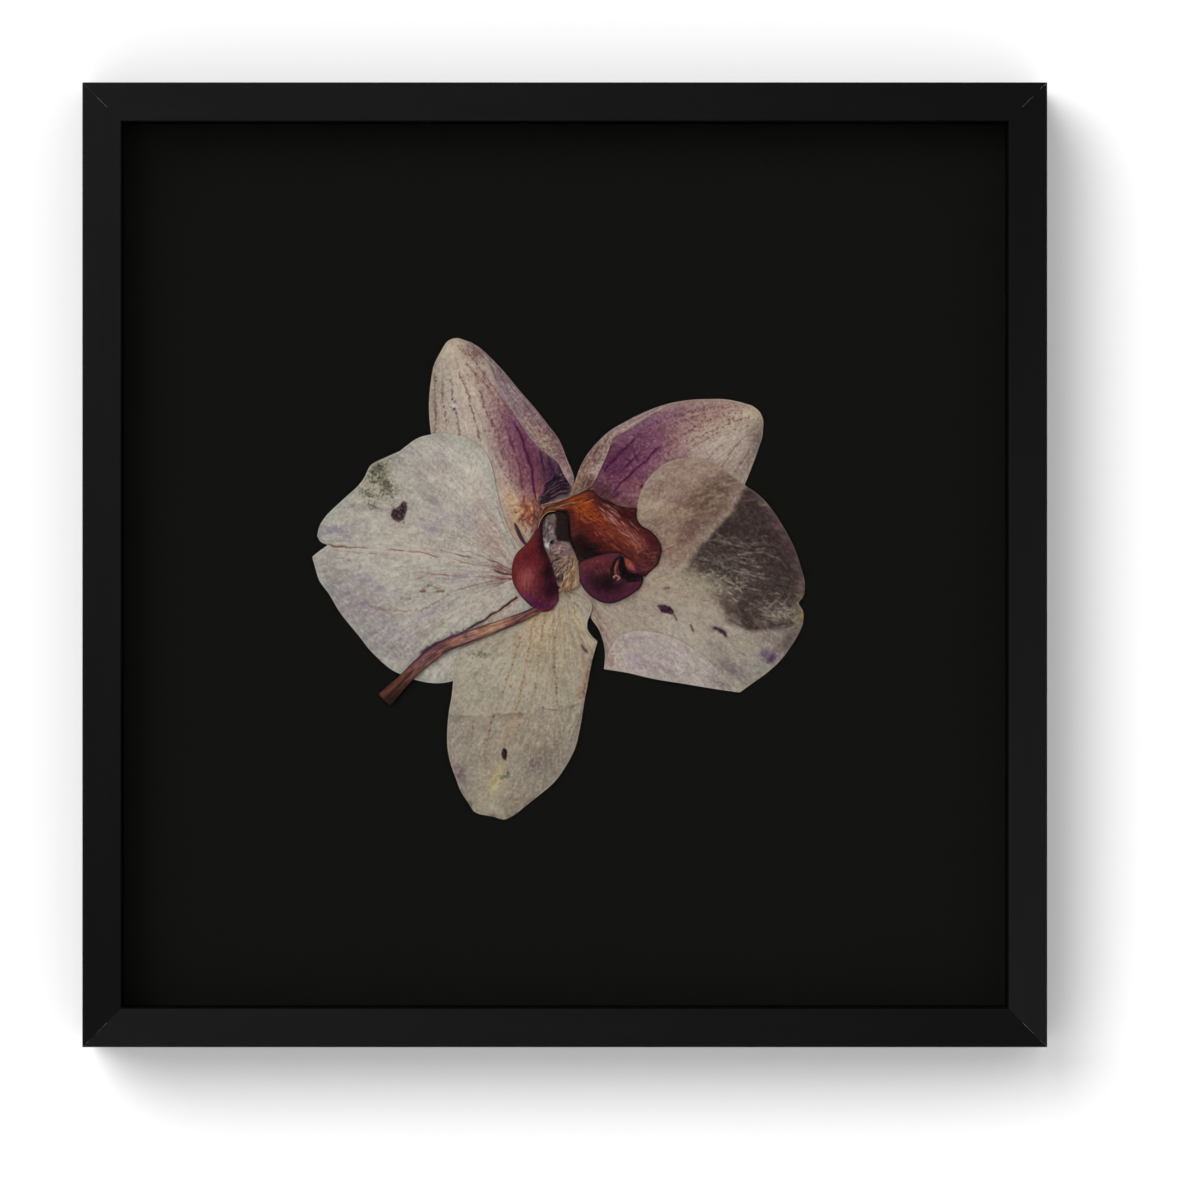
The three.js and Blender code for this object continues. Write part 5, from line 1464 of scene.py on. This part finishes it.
    right = Skin(
        base=[(578, 563), (586, 559), (594, 556.5), (603, 553.5)],
        tip=[(600, 602), (610, 603.5), (624, 599), (634, 593)],
        left=[(578, 563), (578.6, 575), (582, 586), (589, 595), (600, 602)],
        right=[(603, 553.5), (618, 552), (632, 560), (643, 573), (643, 582), (640, 588), (634, 593)],
        size=(118, 118),
        tone=(78, 34, 56),
        seed=640,
    )
    right.washes(
        (598, 569, 30, 13, 6, (98, 42, 38), 0.98), (588, 568, 12, 9, -20, (88, 38, 40), 0.9),
        (585, 580, 6, 10, 0, (80, 34, 62), 0.8), (582, 586, 5, 9, -20, (96, 46, 84), 0.8),
        (600, 599, 18, 4, 14, (70, 28, 58), 0.85), (624, 593, 16, 6, -24, (76, 30, 52), 0.85),
        (596, 571, 16, 7, -6, (84, 38, 42), 0.7), (605, 583, 20, 12, 0, (30, 12, 20), 0.97),
        (608, 582, 14, 9, 0, (20, 9, 14), 0.8),
    )
    for k in range(60):
        turn = right.random.uniform(-2.6, 0.4)
        far = right.random.uniform(8, 24)
        x, y = 605 + far * math.cos(turn), 580 + 0.8 * far * math.sin(turn)
        step = (3 * math.cos(turn), 3 * math.sin(turn))
        tone = (40, 16, 26) if k % 2 else (134, 78, 84)
        right.line([(x, y), (x + step[0], y + step[1])], 0.5, tone, 0.6, 0, 0.01, 1)
    right.line([(622, 557.5), (617, 559.5), (613.5, 567), (612, 577)], 1.5, (14, 8, 8), 0.98, 0, 0.15, 1)
    right.area([(620, 556), (618.5, 567), (620.5, 577), (628, 582.5), (638, 582), (645, 578), (641, 573.5),
                (634, 573.5), (628, 571.5), (624.5, 565), (624, 558)], (12, 7, 8), 0.99, 0.9)
    right.area([(624.5, 558.5), (629, 559), (633, 563), (635, 571), (629, 570), (626, 566)],
               (146, 78, 58), 0.95, 0.9)
    right.wash(630, 565, 2.2, 1.8, 40, (168, 98, 74), 0.6)
    right.line([(616, 575), (615.6, 568), (618, 562)], 0.8, (152, 92, 70), 0.85, 0, 0, 1)
    right.line([(613, 577.5), (617, 576), (620, 578.5), (617, 580)], 0.8, (196, 146, 132), 0.9, 0, 0, 1)
    right.wash(641, 579, 4, 4, 0, (40, 18, 26), 0.8)
    right.grain((112, 60, 70), (34, 14, 24), 0.3)
    right.tone -= (0, 3, 3)
    right.rimmed((30, 14, 20), 0.7, None, 1.4)
    pillow(right, 1.2)

    left = Skin(
        base=[(537.5, 527), (539.5, 527.5), (541, 529)],
        tip=[(530, 605.5), (541, 611.8), (552, 609.5), (558.4, 601)],
        left=[
            (537.5, 527), (527, 543), (516.5, 553.5), (511.8, 568), (512.8, 582), (520, 595),
            (530, 605.5),
        ],
        right=[
            (541, 529), (543.5, 548), (549, 560), (553.5, 570), (557, 582), (558.8, 592), (558.4, 601),
        ],
        size=(106, 163),
        tone=(104, 42, 38),
        seed=660,
    )
    # On the left lobe, the pale pink wash at (526, 580) is a painted highlight on its dome, and the
    # near-black washes at (549, 574) and (549, 590) are painted shade on its hollow right half
    left.washes(
        (526, 548, 20, 12, -54, (96, 34, 30), 0.95), (517, 562, 12, 5, -70, (104, 42, 36), 0.8),
        (514, 578, 4, 16, 0, (84, 36, 36), 0.8), (530, 560, 9, 10, 0, (82, 28, 30), 0.8),
        (524, 570, 9, 8, 0, (98, 44, 46), 0.8), (526, 580, 8, 12, 14, (148, 92, 84), 0.9),
        (534, 590, 6, 9, 8, (96, 50, 52), 0.8), (549, 574, 9, 30, -12, (34, 14, 17), 0.99),
        (549, 590, 10, 11, 0, (36, 15, 26), 0.97), (542, 546, 5, 18, -10, (46, 20, 20), 0.95),
        (539, 604, 20, 5, 10, (68, 28, 58), 0.97), (528, 599, 9, 4, 44, (84, 42, 76), 0.9),
        (556, 604, 4, 5, 0, (112, 70, 110), 0.85),
    )
    for k in range(70):
        y = left.random.uniform(535, 600)
        x = left.random.uniform(514, 550)
        lean = 0.18 * (536 - x) / 10
        left.line([(x + lean, y - 4), (x, y), (x - 0.4 * lean, y + 4)], 0.5,
                  (48, 16, 20) if k % 2 else (130, 72, 64), 0.35, 0, 0.01, 2)
    left.grain((140, 78, 72), (44, 16, 22), 0.26)
    left.brighten(1.0)
    left.tone -= (5, 8, 3)
    left.rimmed((70, 24, 26), 0.6, None, 1.2)
    pillow(left, 1.2)
    brown, tan = mottled((104, 70, 46), 0.15, 3), mottled((140, 108, 80), 0.15, 4)
    violet, red = mottled((58, 34, 46), 0.15, 5), mottled((112, 56, 30), 0.15, 6)
    shells = [
        throat.shell(0.45, 0.12),
        middle.shell(0.55, 0.3),
        right.shell(0.5, 0.3),
        left.shell(0.55, 0.3),
        strand([(541, 505), (558, 500.5), (576, 496), (593, 488.5)], 0.5, tan, 1.2),
        strand([(545, 507), (562, 502), (580, 497), (591, 493)], 0.45, brown, 1.5),
        strand([(593, 489), (599, 496), (612, 502), (626, 505.5)], 0.4, brown, 1.2),
        strand([(544, 512), (552, 506), (564, 502), (573, 501)], 0.6, brown, 1.4),
        strand([(541, 517), (549, 510), (560, 506), (570, 505)], 0.55, red, 1.45),
        strand([(539, 522), (544, 514), (552, 509), (561, 508)], 0.6, brown, 1.3),
        strand([(538, 528), (541, 519), (548, 512), (556, 511)], 0.55, tan, 1.35),
        strand([(514.5, 523), (517.5, 530), (521, 538), (526, 545)], 1.9, violet, 0.8, 0.1),
        strand([(518, 529), (520, 536), (523, 541), (527, 546)], 1.7, violet, 0.8, 0.1),
    ]
    return mesh_object("flower_lip", shells, lip_tissue, "lip_tissue", "lip")


def column():
    """Column with its cap: a Coons patch swollen by pillow, with fibres at its foot as tapered
    rods."""
    s = Skin(
        base=[(542.5, 520), (548, 514.5), (556, 513), (563, 513.5), (568, 517)],
        tip=[(556, 585), (563, 589.5), (571, 590.5), (579, 587)],
        left=[(542.5, 520), (542, 534), (544, 548), (549, 560), (553, 572), (556, 585)],
        right=[(568, 517), (569, 530), (570.5, 541), (575, 552), (578, 563), (580, 575), (579, 587)],
        size=(100, 151),
        tone=(118, 96, 92),
        seed=700,
    )
    s.wash(550, 530, 5, 20, 4, (96, 82, 84), 0.97)
    s.wash(546, 546, 3.5, 9, 6, (118, 108, 110), 0.85)
    s.line([(553.5, 517), (553.8, 526), (554.4, 534)], 0.8, (96, 50, 44), 0.8)
    s.washes(
        (562, 548, 10, 6, 14, (116, 88, 86), 0.95), (552, 556, 5, 9, -10, (100, 76, 74), 0.85),
        (563, 566, 8, 11, 34, (72, 52, 48), 0.9), (559, 578, 6, 8, 20, (40, 27, 26), 0.95),
        (575, 566, 3.6, 14, -6, (144, 114, 88), 0.9), (571, 583, 9, 8, 0, (150, 120, 92), 0.9),
        (578, 578, 3, 14, 0, (158, 130, 100), 0.9),
    )
    s.grain((170, 152, 146), (46, 32, 32), 0.4)
    s.wisps(60, 563, 564, 14, 10, 60, 16, 122, 0.75,
            ((30, 20, 20), (182, 154, 142), (50, 34, 32), (150, 122, 100)), 0.9)
    s.wisps(16, 559, 547, 10, 4, 6, 10, 4, 0.5, ((60, 42, 42), (172, 150, 146)), 0.7)
    s.wisps(30, 573, 572, 6, 14, 0, 14, 110, 0.7, ((190, 160, 116), (92, 66, 48), (150, 118, 84)), 0.85)
    s.wisps(30, 549, 530, 4, 16, 4, 7, 90, 0.7, ((172, 168, 172), (50, 40, 42), (140, 130, 134)), 0.85)
    s.wisps(12, 545, 543, 3, 8, 0, 5, 80, 0.8, ((190, 188, 194), (90, 80, 84)), 0.9)
    s.scatter(26, 546, 545, 4, 5, 90, 0.8, (196, 194, 200), 0.9)
    s.scatter(24, 551, 526, 4, 10, 90, 0.8, (44, 34, 36), 0.9)
    s.area([(554.6, 511), (570, 511), (571, 542), (556, 540)], (30, 17, 17), 1.0, 1.3)
    s.wash(544, 519, 3, 8, 20, (32, 20, 20), 0.95)
    s.area([(549.6, 541), (553, 539.6), (553.6, 543), (550.4, 544)], (20, 12, 14), 1.0, 0.8)
    lower_part = smooth(s.y, 545, 560)
    s.blend((150, 124, 96), 0.6 * lower_part * np.exp(-(((s.u - 0.97) / 0.09) ** 2)))
    rim_shade = (1 - lower_part * smooth(s.u, 0.4, 0.8)) * (1 - smooth(s.y, 574, 582))
    s.blend((30, 18, 18), 0.8 * rim_shade * np.exp(-((s.edge / 1.3) ** 2)))
    pillow(s, 0.7, 0.4)
    s.relief += 0.12 * rough(s.x / 3, s.y / 3, 12)
    straw, rust = mottled((138, 106, 80), 0.2, 6), mottled((96, 56, 40), 0.2, 7)
    shells = [s.shell(0.75, 0.3)]
    for k in range(6):
        shells.append(strand(
            [(579 - 1.6 * k, 560 + 3 * k), (573 - 1.4 * k, 573 + 2 * k), (567 - 0.8 * k, 585 + 0.6 * k)],
            0.35, straw, (1.7, 1.25)))
    for k in range(7):
        end = (553 + 4 * k, 598 - 1.2 * abs(3 - k) - k % 2)
        tone = rust if k % 2 else straw
        shells.append(strand([(565, 586), (562 + k, 589.5), end], 0.4, tone, (1.4, 0.95)))
    return mesh_object("flower_column", shells, column_tissue, "column_tissue", "column")


def pedicel():
    """Stalk: an ellipse swept along a curve, its width read from a few places and made uneven
    by two noises."""
    count = 260
    path = curve([(384, 700), (397, 687), (413, 671), (430, 656), (448, 644.5), (468, 637), (490, 629),
                  (512, 621), (532, 612.5), (545, 606)], count)
    t = np.linspace(0, 1, count)
    wide = np.interp(t, [0, 0.05, 0.14, 0.35, 0.55, 0.75, 0.9, 1], [8.4, 7.4, 6.0, 6.9, 6.2, 5.4, 4.6, 3.4])
    wide = wide * (1 + 0.05 * noise(t * 14, 0 * t, 8) + 0.03 * noise(t * 40, 0 * t, 9))
    wide = wide * np.clip(0.75 + t * 60, 0, 1)
    right = (path[:, 0] - MIDDLE) * SQUARE / MM
    height = 0.85 + 0.3 * smooth(right, -31, -25) - 0.25 * smooth(right, -10, -5)
    deep = 0.5 * np.clip(0.6 + t * 60, 0, 1)
    places = [0, 0.05, 0.1, 0.22, 0.32, 0.42, 0.5, 0.6, 0.7, 0.8, 0.9, 1]
    reds = [56, 62, 78, 88, 92, 106, 126, 128, 146, 120, 92, 80]
    greens = [31, 35, 48, 58, 60, 70, 88, 94, 116, 80, 58, 50]
    blues = [24, 27, 38, 52, 58, 64, 76, 88, 106, 74, 54, 48]

    def bark(along, side, up):
        """Mottled stalk skin: a tone that changes along the stalk, ridges, edge stripes, and a painted
        highlight on top.
        """
        ridge = noise(side * 3.2 + 9, along * 12, 21)
        fine = noise(side * 9, along * 44, 22)
        blot = noise(side * 2.6, along * 36, 23)
        tone = np.stack([np.interp(along, places, row) for row in (reds, greens, blues)], -1)
        tone = tone * (1 + 0.3 * ridge + 0.3 * fine + 0.26 * blot)[..., None]
        dark_line = np.exp(-(((side - 0.1 * np.sin(9 * along) + 0.1) / 0.2) ** 2))
        dark_line = dark_line * smooth(0.24 - along, 0, 0.06)
        under = np.exp(-(((side + 0.9) / 0.26) ** 2)) * smooth(along, 0.35, 0.5)
        over = np.exp(-(((side - 0.85) / 0.3) ** 2)) * smooth(along, 0.2, 0.28)
        over = over * (1 - smooth(along, 0.5, 0.62))
        line = np.exp(-(((side - 0.92) / 0.12) ** 2)) * smooth(along, 0.1, 0.2)
        warm = np.exp(-(((side - 0.5) / 0.34) ** 2)) * smooth(0.2 - along, 0, 0.08)
        orange = smooth(noise(side * 1.4 + 3, along * 9, 24), 0.1, 0.5) * smooth(along, 0.4, 0.5)
        stripes = (
            (dark_line, (24, 14, 12)), (under, (64, 32, 46)), (over, (78, 44, 68)),
            (line, (52, 28, 42)), (0.7 * warm, (112, 64, 38)), (0.5 * orange, (160, 116, 74)),
        )
        for mask, other in stripes:
            tone = tone + (np.asarray(other, float) - tone) * (0.85 * np.clip(mask, 0, 1))[..., None]
        # Painted highlight: a little lighter on top of the stalk, darker underneath
        return tone * (0.95 + 0.08 * up)[..., None]

    shells = [tube(np.column_stack([path, height]), wide, deep, bark, 64)]
    return mesh_object("flower_stalk", shells, stalk_tissue, "stalk_tissue", "pedicel")


sepal_upper_left()
sepal_upper_right()
petal_left()
petal_right()
sepal_lower()
lip()
column()
pedicel()


def black_wood(name, axis, first, last):
    """Black stained wood: a painted sheen that changes slowly along the rail, brushed grain, paler outer
    arrises, and painted shade on the inner face of the lip.
    """
    s = Shader(name)
    place = s.place()
    parts = s.node("SeparateXYZ", Vector=place)
    x, _, z = parts.outputs
    run, centre = (x, 0) if axis == "X" else (z, FRAME_MIDDLE)
    low, high = centre - OUTER, centre + OUTER
    # Painted sheen: the tone goes slowly from first to last along the rail
    slow = s.ranged(run, low, high, first, last)
    scale = (30.0, 900.0, 900.0) if axis == "X" else (900.0, 900.0, 30.0)
    brushed = s.clouds(s.stretched(place, scale), 1.0, 5.0)
    mottle = s.clouds(place, 350.0, 3.0)
    shade = s.sum("MULTIPLY", slow, s.ranged(brushed, 0.3, 0.7, 0.93, 1.07))
    shade = s.sum("MULTIPLY", shade, s.ranged(mottle, 0.3, 0.7, 0.97, 1.03))
    up = s.sum("ABSOLUTE", s.sum("ADD", z, -FRAME_MIDDLE), 0.0)
    reach = s.sum("MAXIMUM", s.sum("ABSOLUTE", x, 0.0), up)
    opening = OUTER - RAIL_FACE
    # Painted shade: darker towards the inner edge of the opening, on the lip's inner face and its arris
    inner = s.ranged(reach, opening - 0.1 * MM, opening + 0.3 * MM, 0.1, 1.0)
    outer = s.ranged(reach, OUTER - 0.4 * MM, OUTER - 0.1 * MM, 1.0, 1.35)
    shade = s.sum("MULTIPLY", s.sum("MULTIPLY", shade, inner), outer)
    height = s.sum("ADD", brushed, s.sum("MULTIPLY", mottle, 0.6))
    roughness = s.ranged(mottle, 0.3, 0.7, 0.5, 0.65)
    return s.finish(s.shaded(shade), roughness, height, 0.00004, 0.4, Specular_IOR_Level=0.02)


def level(tone):
    """Share of light of one grey tone."""
    return float(linear(np.array(tone)))


def rounded(inward, out, from_angle, radius):
    """Quarter circle round a corner of the section."""
    angle = np.linspace(from_angle, from_angle + np.pi / 2, ARRIS_STEPS)
    return np.stack([inward + radius * np.cos(angle), out + radius * np.sin(angle)], -1)


def rail(name, along, inwards, material):
    """One mitred rail: the rebate section, inward from the outer face and out from the wall,
    swept between the two mitre planes, on which the place along the rail is the half width
    less how far inward the point lies."""
    section = np.concatenate(
        [
            [(0, 0), (RAIL_WALL, 0), (RAIL_WALL, LIP_BACK), (RAIL_FACE, LIP_BACK)],
            rounded(RAIL_FACE - ARRIS, DEPTH - ARRIS, 0, ARRIS),
            rounded(ARRIS, DEPTH - ARRIS, np.pi / 2, ARRIS),
        ]
    )
    inward, out = section.T
    half = OUTER - inward - MITRE_GAP
    ends = np.array([[-1], [1]])
    offset = ends * half
    across = OUTER - inward + 0 * ends
    along, inwards = np.array(along, float), np.array(inwards, float)
    plan = offset[..., None] * along - across[..., None] * inwards
    points = np.stack([plan[..., 0], -out + 0 * ends, FRAME_MIDDLE + plan[..., 1]], -1)
    points = points.reshape(-1, 3)
    count = len(section)
    index = np.arange(2 * count).reshape(2, count)
    ahead = np.roll(index, -1, axis=1)
    sides = np.stack([index[0], index[1], ahead[1], ahead[0]], -1)
    groups = [sides, index[:1], index[1:, ::-1]]
    a, b, c = points[sides[0, :3]]
    if np.cross(b - a, c - b)[1] < 0:
        groups = [group[:, ::-1] for group in groups]
    mesh, _ = mesh_of(name, points, groups, ())
    return piece(name.split("_")[1] + "_rail", mesh, material, "black_wood", name)


# Which way each rail runs, which way its inside lies, and how its painted sheen changes along it
bright, dim = level(25), level(14.5)
RAILS = {
    "rail_left": ((0, 1), (1, 0), "Z", dim, bright),
    "rail_right": ((0, 1), (-1, 0), "Z", bright, dim),
    "rail_top": ((1, 0), (0, -1), "X", bright, dim),
    "rail_bottom": ((1, 0), (0, 1), "X", bright, dim),
}
for name, (along, inwards, axis, first, last) in RAILS.items():
    rail(name, along, inwards, black_wood(name.replace("rail", "black_wood"), axis, first, last))


def card(name, tone, fleck, specular=0.02):
    """Black card: faint fibres and mottling."""
    s = Shader(name)
    place = s.place()
    fine = s.clouds(place, 2600.0, 5.0)
    fibres = s.clouds(s.stretched(place, (500.0, 500.0, 2600.0)), 1.0, 4.0)
    fine_shade = s.ranged(fine, 0.3, 0.7, -fleck, fleck)
    shade = s.sum("ADD", fine_shade, s.ranged(fibres, 0.3, 0.7, -fleck, fleck))
    colour = s.mixed("MULTIPLY", 1.0, opaque(tone), s.shaded(s.sum("ADD", shade, 1.0)))
    roughness = s.ranged(fine, 0.3, 0.7, 0.85, 1.0)
    height = s.sum("ADD", fine, fibres)
    return s.finish(colour, roughness, height, 0.00003, 0.4, Specular_IOR_Level=specular)


black_board = card("black_board", (15.5, 16.0, 13.5), 0.12)
black_spacer = card("black_spacer", (5, 5, 5), 0.10, 0.0)


def glass_finish():
    """Clear anti-reflection glass, nearly invisible from any side."""
    return Shader("clear_pane").set(
        Base_Color=(0.02, 0.02, 0.02, 1), Roughness=0.05, Specular_IOR_Level=0.02, Alpha=0.03
    )


def backing_finish():
    """Brown fibreboard: matted fibres and dark flecks."""
    s = Shader("backing_fibreboard")
    place = s.place()
    fibres = s.clouds(s.stretched(place, (900.0, 900.0, 1500.0)), 1.0, 6.0)
    flecks = s.clouds(place, 2600.0, 3.0)
    slow = s.clouds(place, 22.0, 3.0)
    matted = s.ranged(fibres, 0.3, 0.7, 0.0, 1.0)
    warm = s.mixed("MIX", matted, opaque((124, 94, 66)), opaque((152, 120, 86)))
    dark = s.mixed("MIX", s.ranged(flecks, 0.6, 0.72, 0.0, 0.55), warm, opaque((78, 56, 38)))
    colour = s.mixed("MIX", s.ranged(slow, 0.35, 0.65, 0.0, 0.4), dark, opaque((132, 106, 80)))
    roughness = s.ranged(fibres, 0.3, 0.7, 0.8, 0.95)
    return s.finish(colour, roughness, fibres, 0.0001, 0.4, Specular_IOR_Level=0.2)


def metal_finish(name, tone, low, high):
    """Stamped sheet metal: brushed lines and dull patches."""
    s = Shader(name)
    place = s.place()
    lines = s.clouds(s.stretched(place, (200.0, 2000.0, 4000.0)), 1.0, 3.0)
    patches = s.clouds(place, 700.0, 3.0)
    base = opaque(tone)
    worn = tuple(0.7 * c for c in base[:3]) + (1.0,)
    colour = s.mixed("MIX", s.ranged(patches, 0.35, 0.65, 0.0, 1.0), base, worn)
    return s.finish(colour, s.ranged(patches, 0.3, 0.7, low, high), lines, 0.00003, 0.4, Metallic=1.0)


# Finishes of the CAD nodes that show as they are
others = {
    "glass": glass_finish(),
    "mount_board": black_board,
    "backing_board": backing_finish(),
    "hanger": metal_finish("brassed_steel", (206, 172, 104), 0.3, 0.5),
}
for name in ("spacer_top", "spacer_bottom", "spacer_left", "spacer_right"):
    others[name] = black_spacer
zinc = metal_finish("zinc_steel", (190, 192, 194), 0.35, 0.55)
for k in range(8):
    others["retaining_tab_%d" % (k + 1)] = zinc
for name in ("hanger_screw_left", "hanger_screw_right"):
    others[name] = others["hanger"]
for name, finish in others.items():
    nodes[name].data.materials.clear()
    nodes[name].data.materials.append(finish)


def stage_mesh(name, points, faces, share):
    """A flat, plain part of the room that reflects a share of the light."""
    mesh = bpy.data.meshes.new(name)
    mesh.from_pydata(points, [], faces)
    obj = bpy.data.objects.new(name, mesh)
    bpy.context.scene.collection.objects.link(obj)
    mesh.materials.append(
        Shader(name).set(
            Base_Color=(share, share, share, 1), Roughness=0.9, Specular_IOR_Level=0.0
        )
    )


# Room, light and camera, in metres
WALL_REACH = 0.42               # middle of the frame to the wall's edge
HOLE_REACH = 0.1035             # middle of the frame to the edge of the hole behind it
FLOOR_SIDE = 1.2                # middle to either side of the floor
FLOOR_FRONT = -2.2              # floor's edge on the viewer's side of the wall
FLOOR_BACK = 1.2                # floor's edge behind the wall
SKY = 0.78                      # even light of the studio
SUN_ENERGY = 2.06
SUN_WIDTH = math.radians(42)    # a wide sun, for a soft shadow
SUN_LEAN = math.radians(43.5)   # off the straight view onto the wall
DIAGONAL = 0.7071               # the sun leans as much to the left as upwards
DISTANCE = 1.46                 # camera to the front of the rails
VIEW_WIDTH = 0.26114            # width in view at the front of the rails
SENSOR = 36                     # width of the camera's sensor, in mm

wall_points = []
for reach in (WALL_REACH, HOLE_REACH):
    low, high = FRAME_MIDDLE - reach, FRAME_MIDDLE + reach
    wall_points += [(-reach, 0, low), (reach, 0, low), (reach, 0, high), (-reach, 0, high)]
wall_faces = [(0, 1, 5, 4), (1, 2, 6, 5), (2, 3, 7, 6), (3, 0, 4, 7)]
stage_mesh("wall", wall_points, wall_faces, 0.9)
ground = FRAME_MIDDLE - WALL_REACH
corners = ((-1, FLOOR_FRONT), (1, FLOOR_FRONT), (1, FLOOR_BACK), (-1, FLOOR_BACK))
floor_points = [(side * FLOOR_SIDE, y, ground) for side, y in corners]
stage_mesh("floor", floor_points, [(0, 1, 2, 3)], 0.8)

world = bpy.data.worlds.new("studio")
world.use_nodes = True
world.node_tree.nodes["Background"].inputs["Color"].default_value = (SKY, SKY, SKY, 1)
bpy.context.scene.world = world

sun = bpy.data.lights.new("key", "SUN")
sun.energy = SUN_ENERGY
sun.angle = SUN_WIDTH
key = bpy.data.objects.new("key", sun)
bpy.context.scene.collection.objects.link(key)
sideways = math.sin(SUN_LEAN) * DIAGONAL
aim = Vector((sideways, math.cos(SUN_LEAN), -sideways))
key.rotation_euler = aim.to_track_quat("-Z", "Y").to_euler()

camera = bpy.data.cameras.new("camera")
view = bpy.data.objects.new("camera", camera)
bpy.context.scene.collection.objects.link(view)
bpy.context.scene.camera = view
view.location = (0, -DEPTH - DISTANCE, FRAME_MIDDLE)
view.rotation_euler = (math.radians(90), 0, 0)
camera.sensor_width = SENSOR
camera.lens = SENSOR * DISTANCE / VIEW_WIDTH
camera.shift_x = (PHOTO / 2 - MIDDLE) / PHOTO
camera.shift_y = -camera.shift_x
camera.clip_start = 0.05
camera.clip_end = 20
bpy.context.scene.view_settings.view_transform = "Standard"
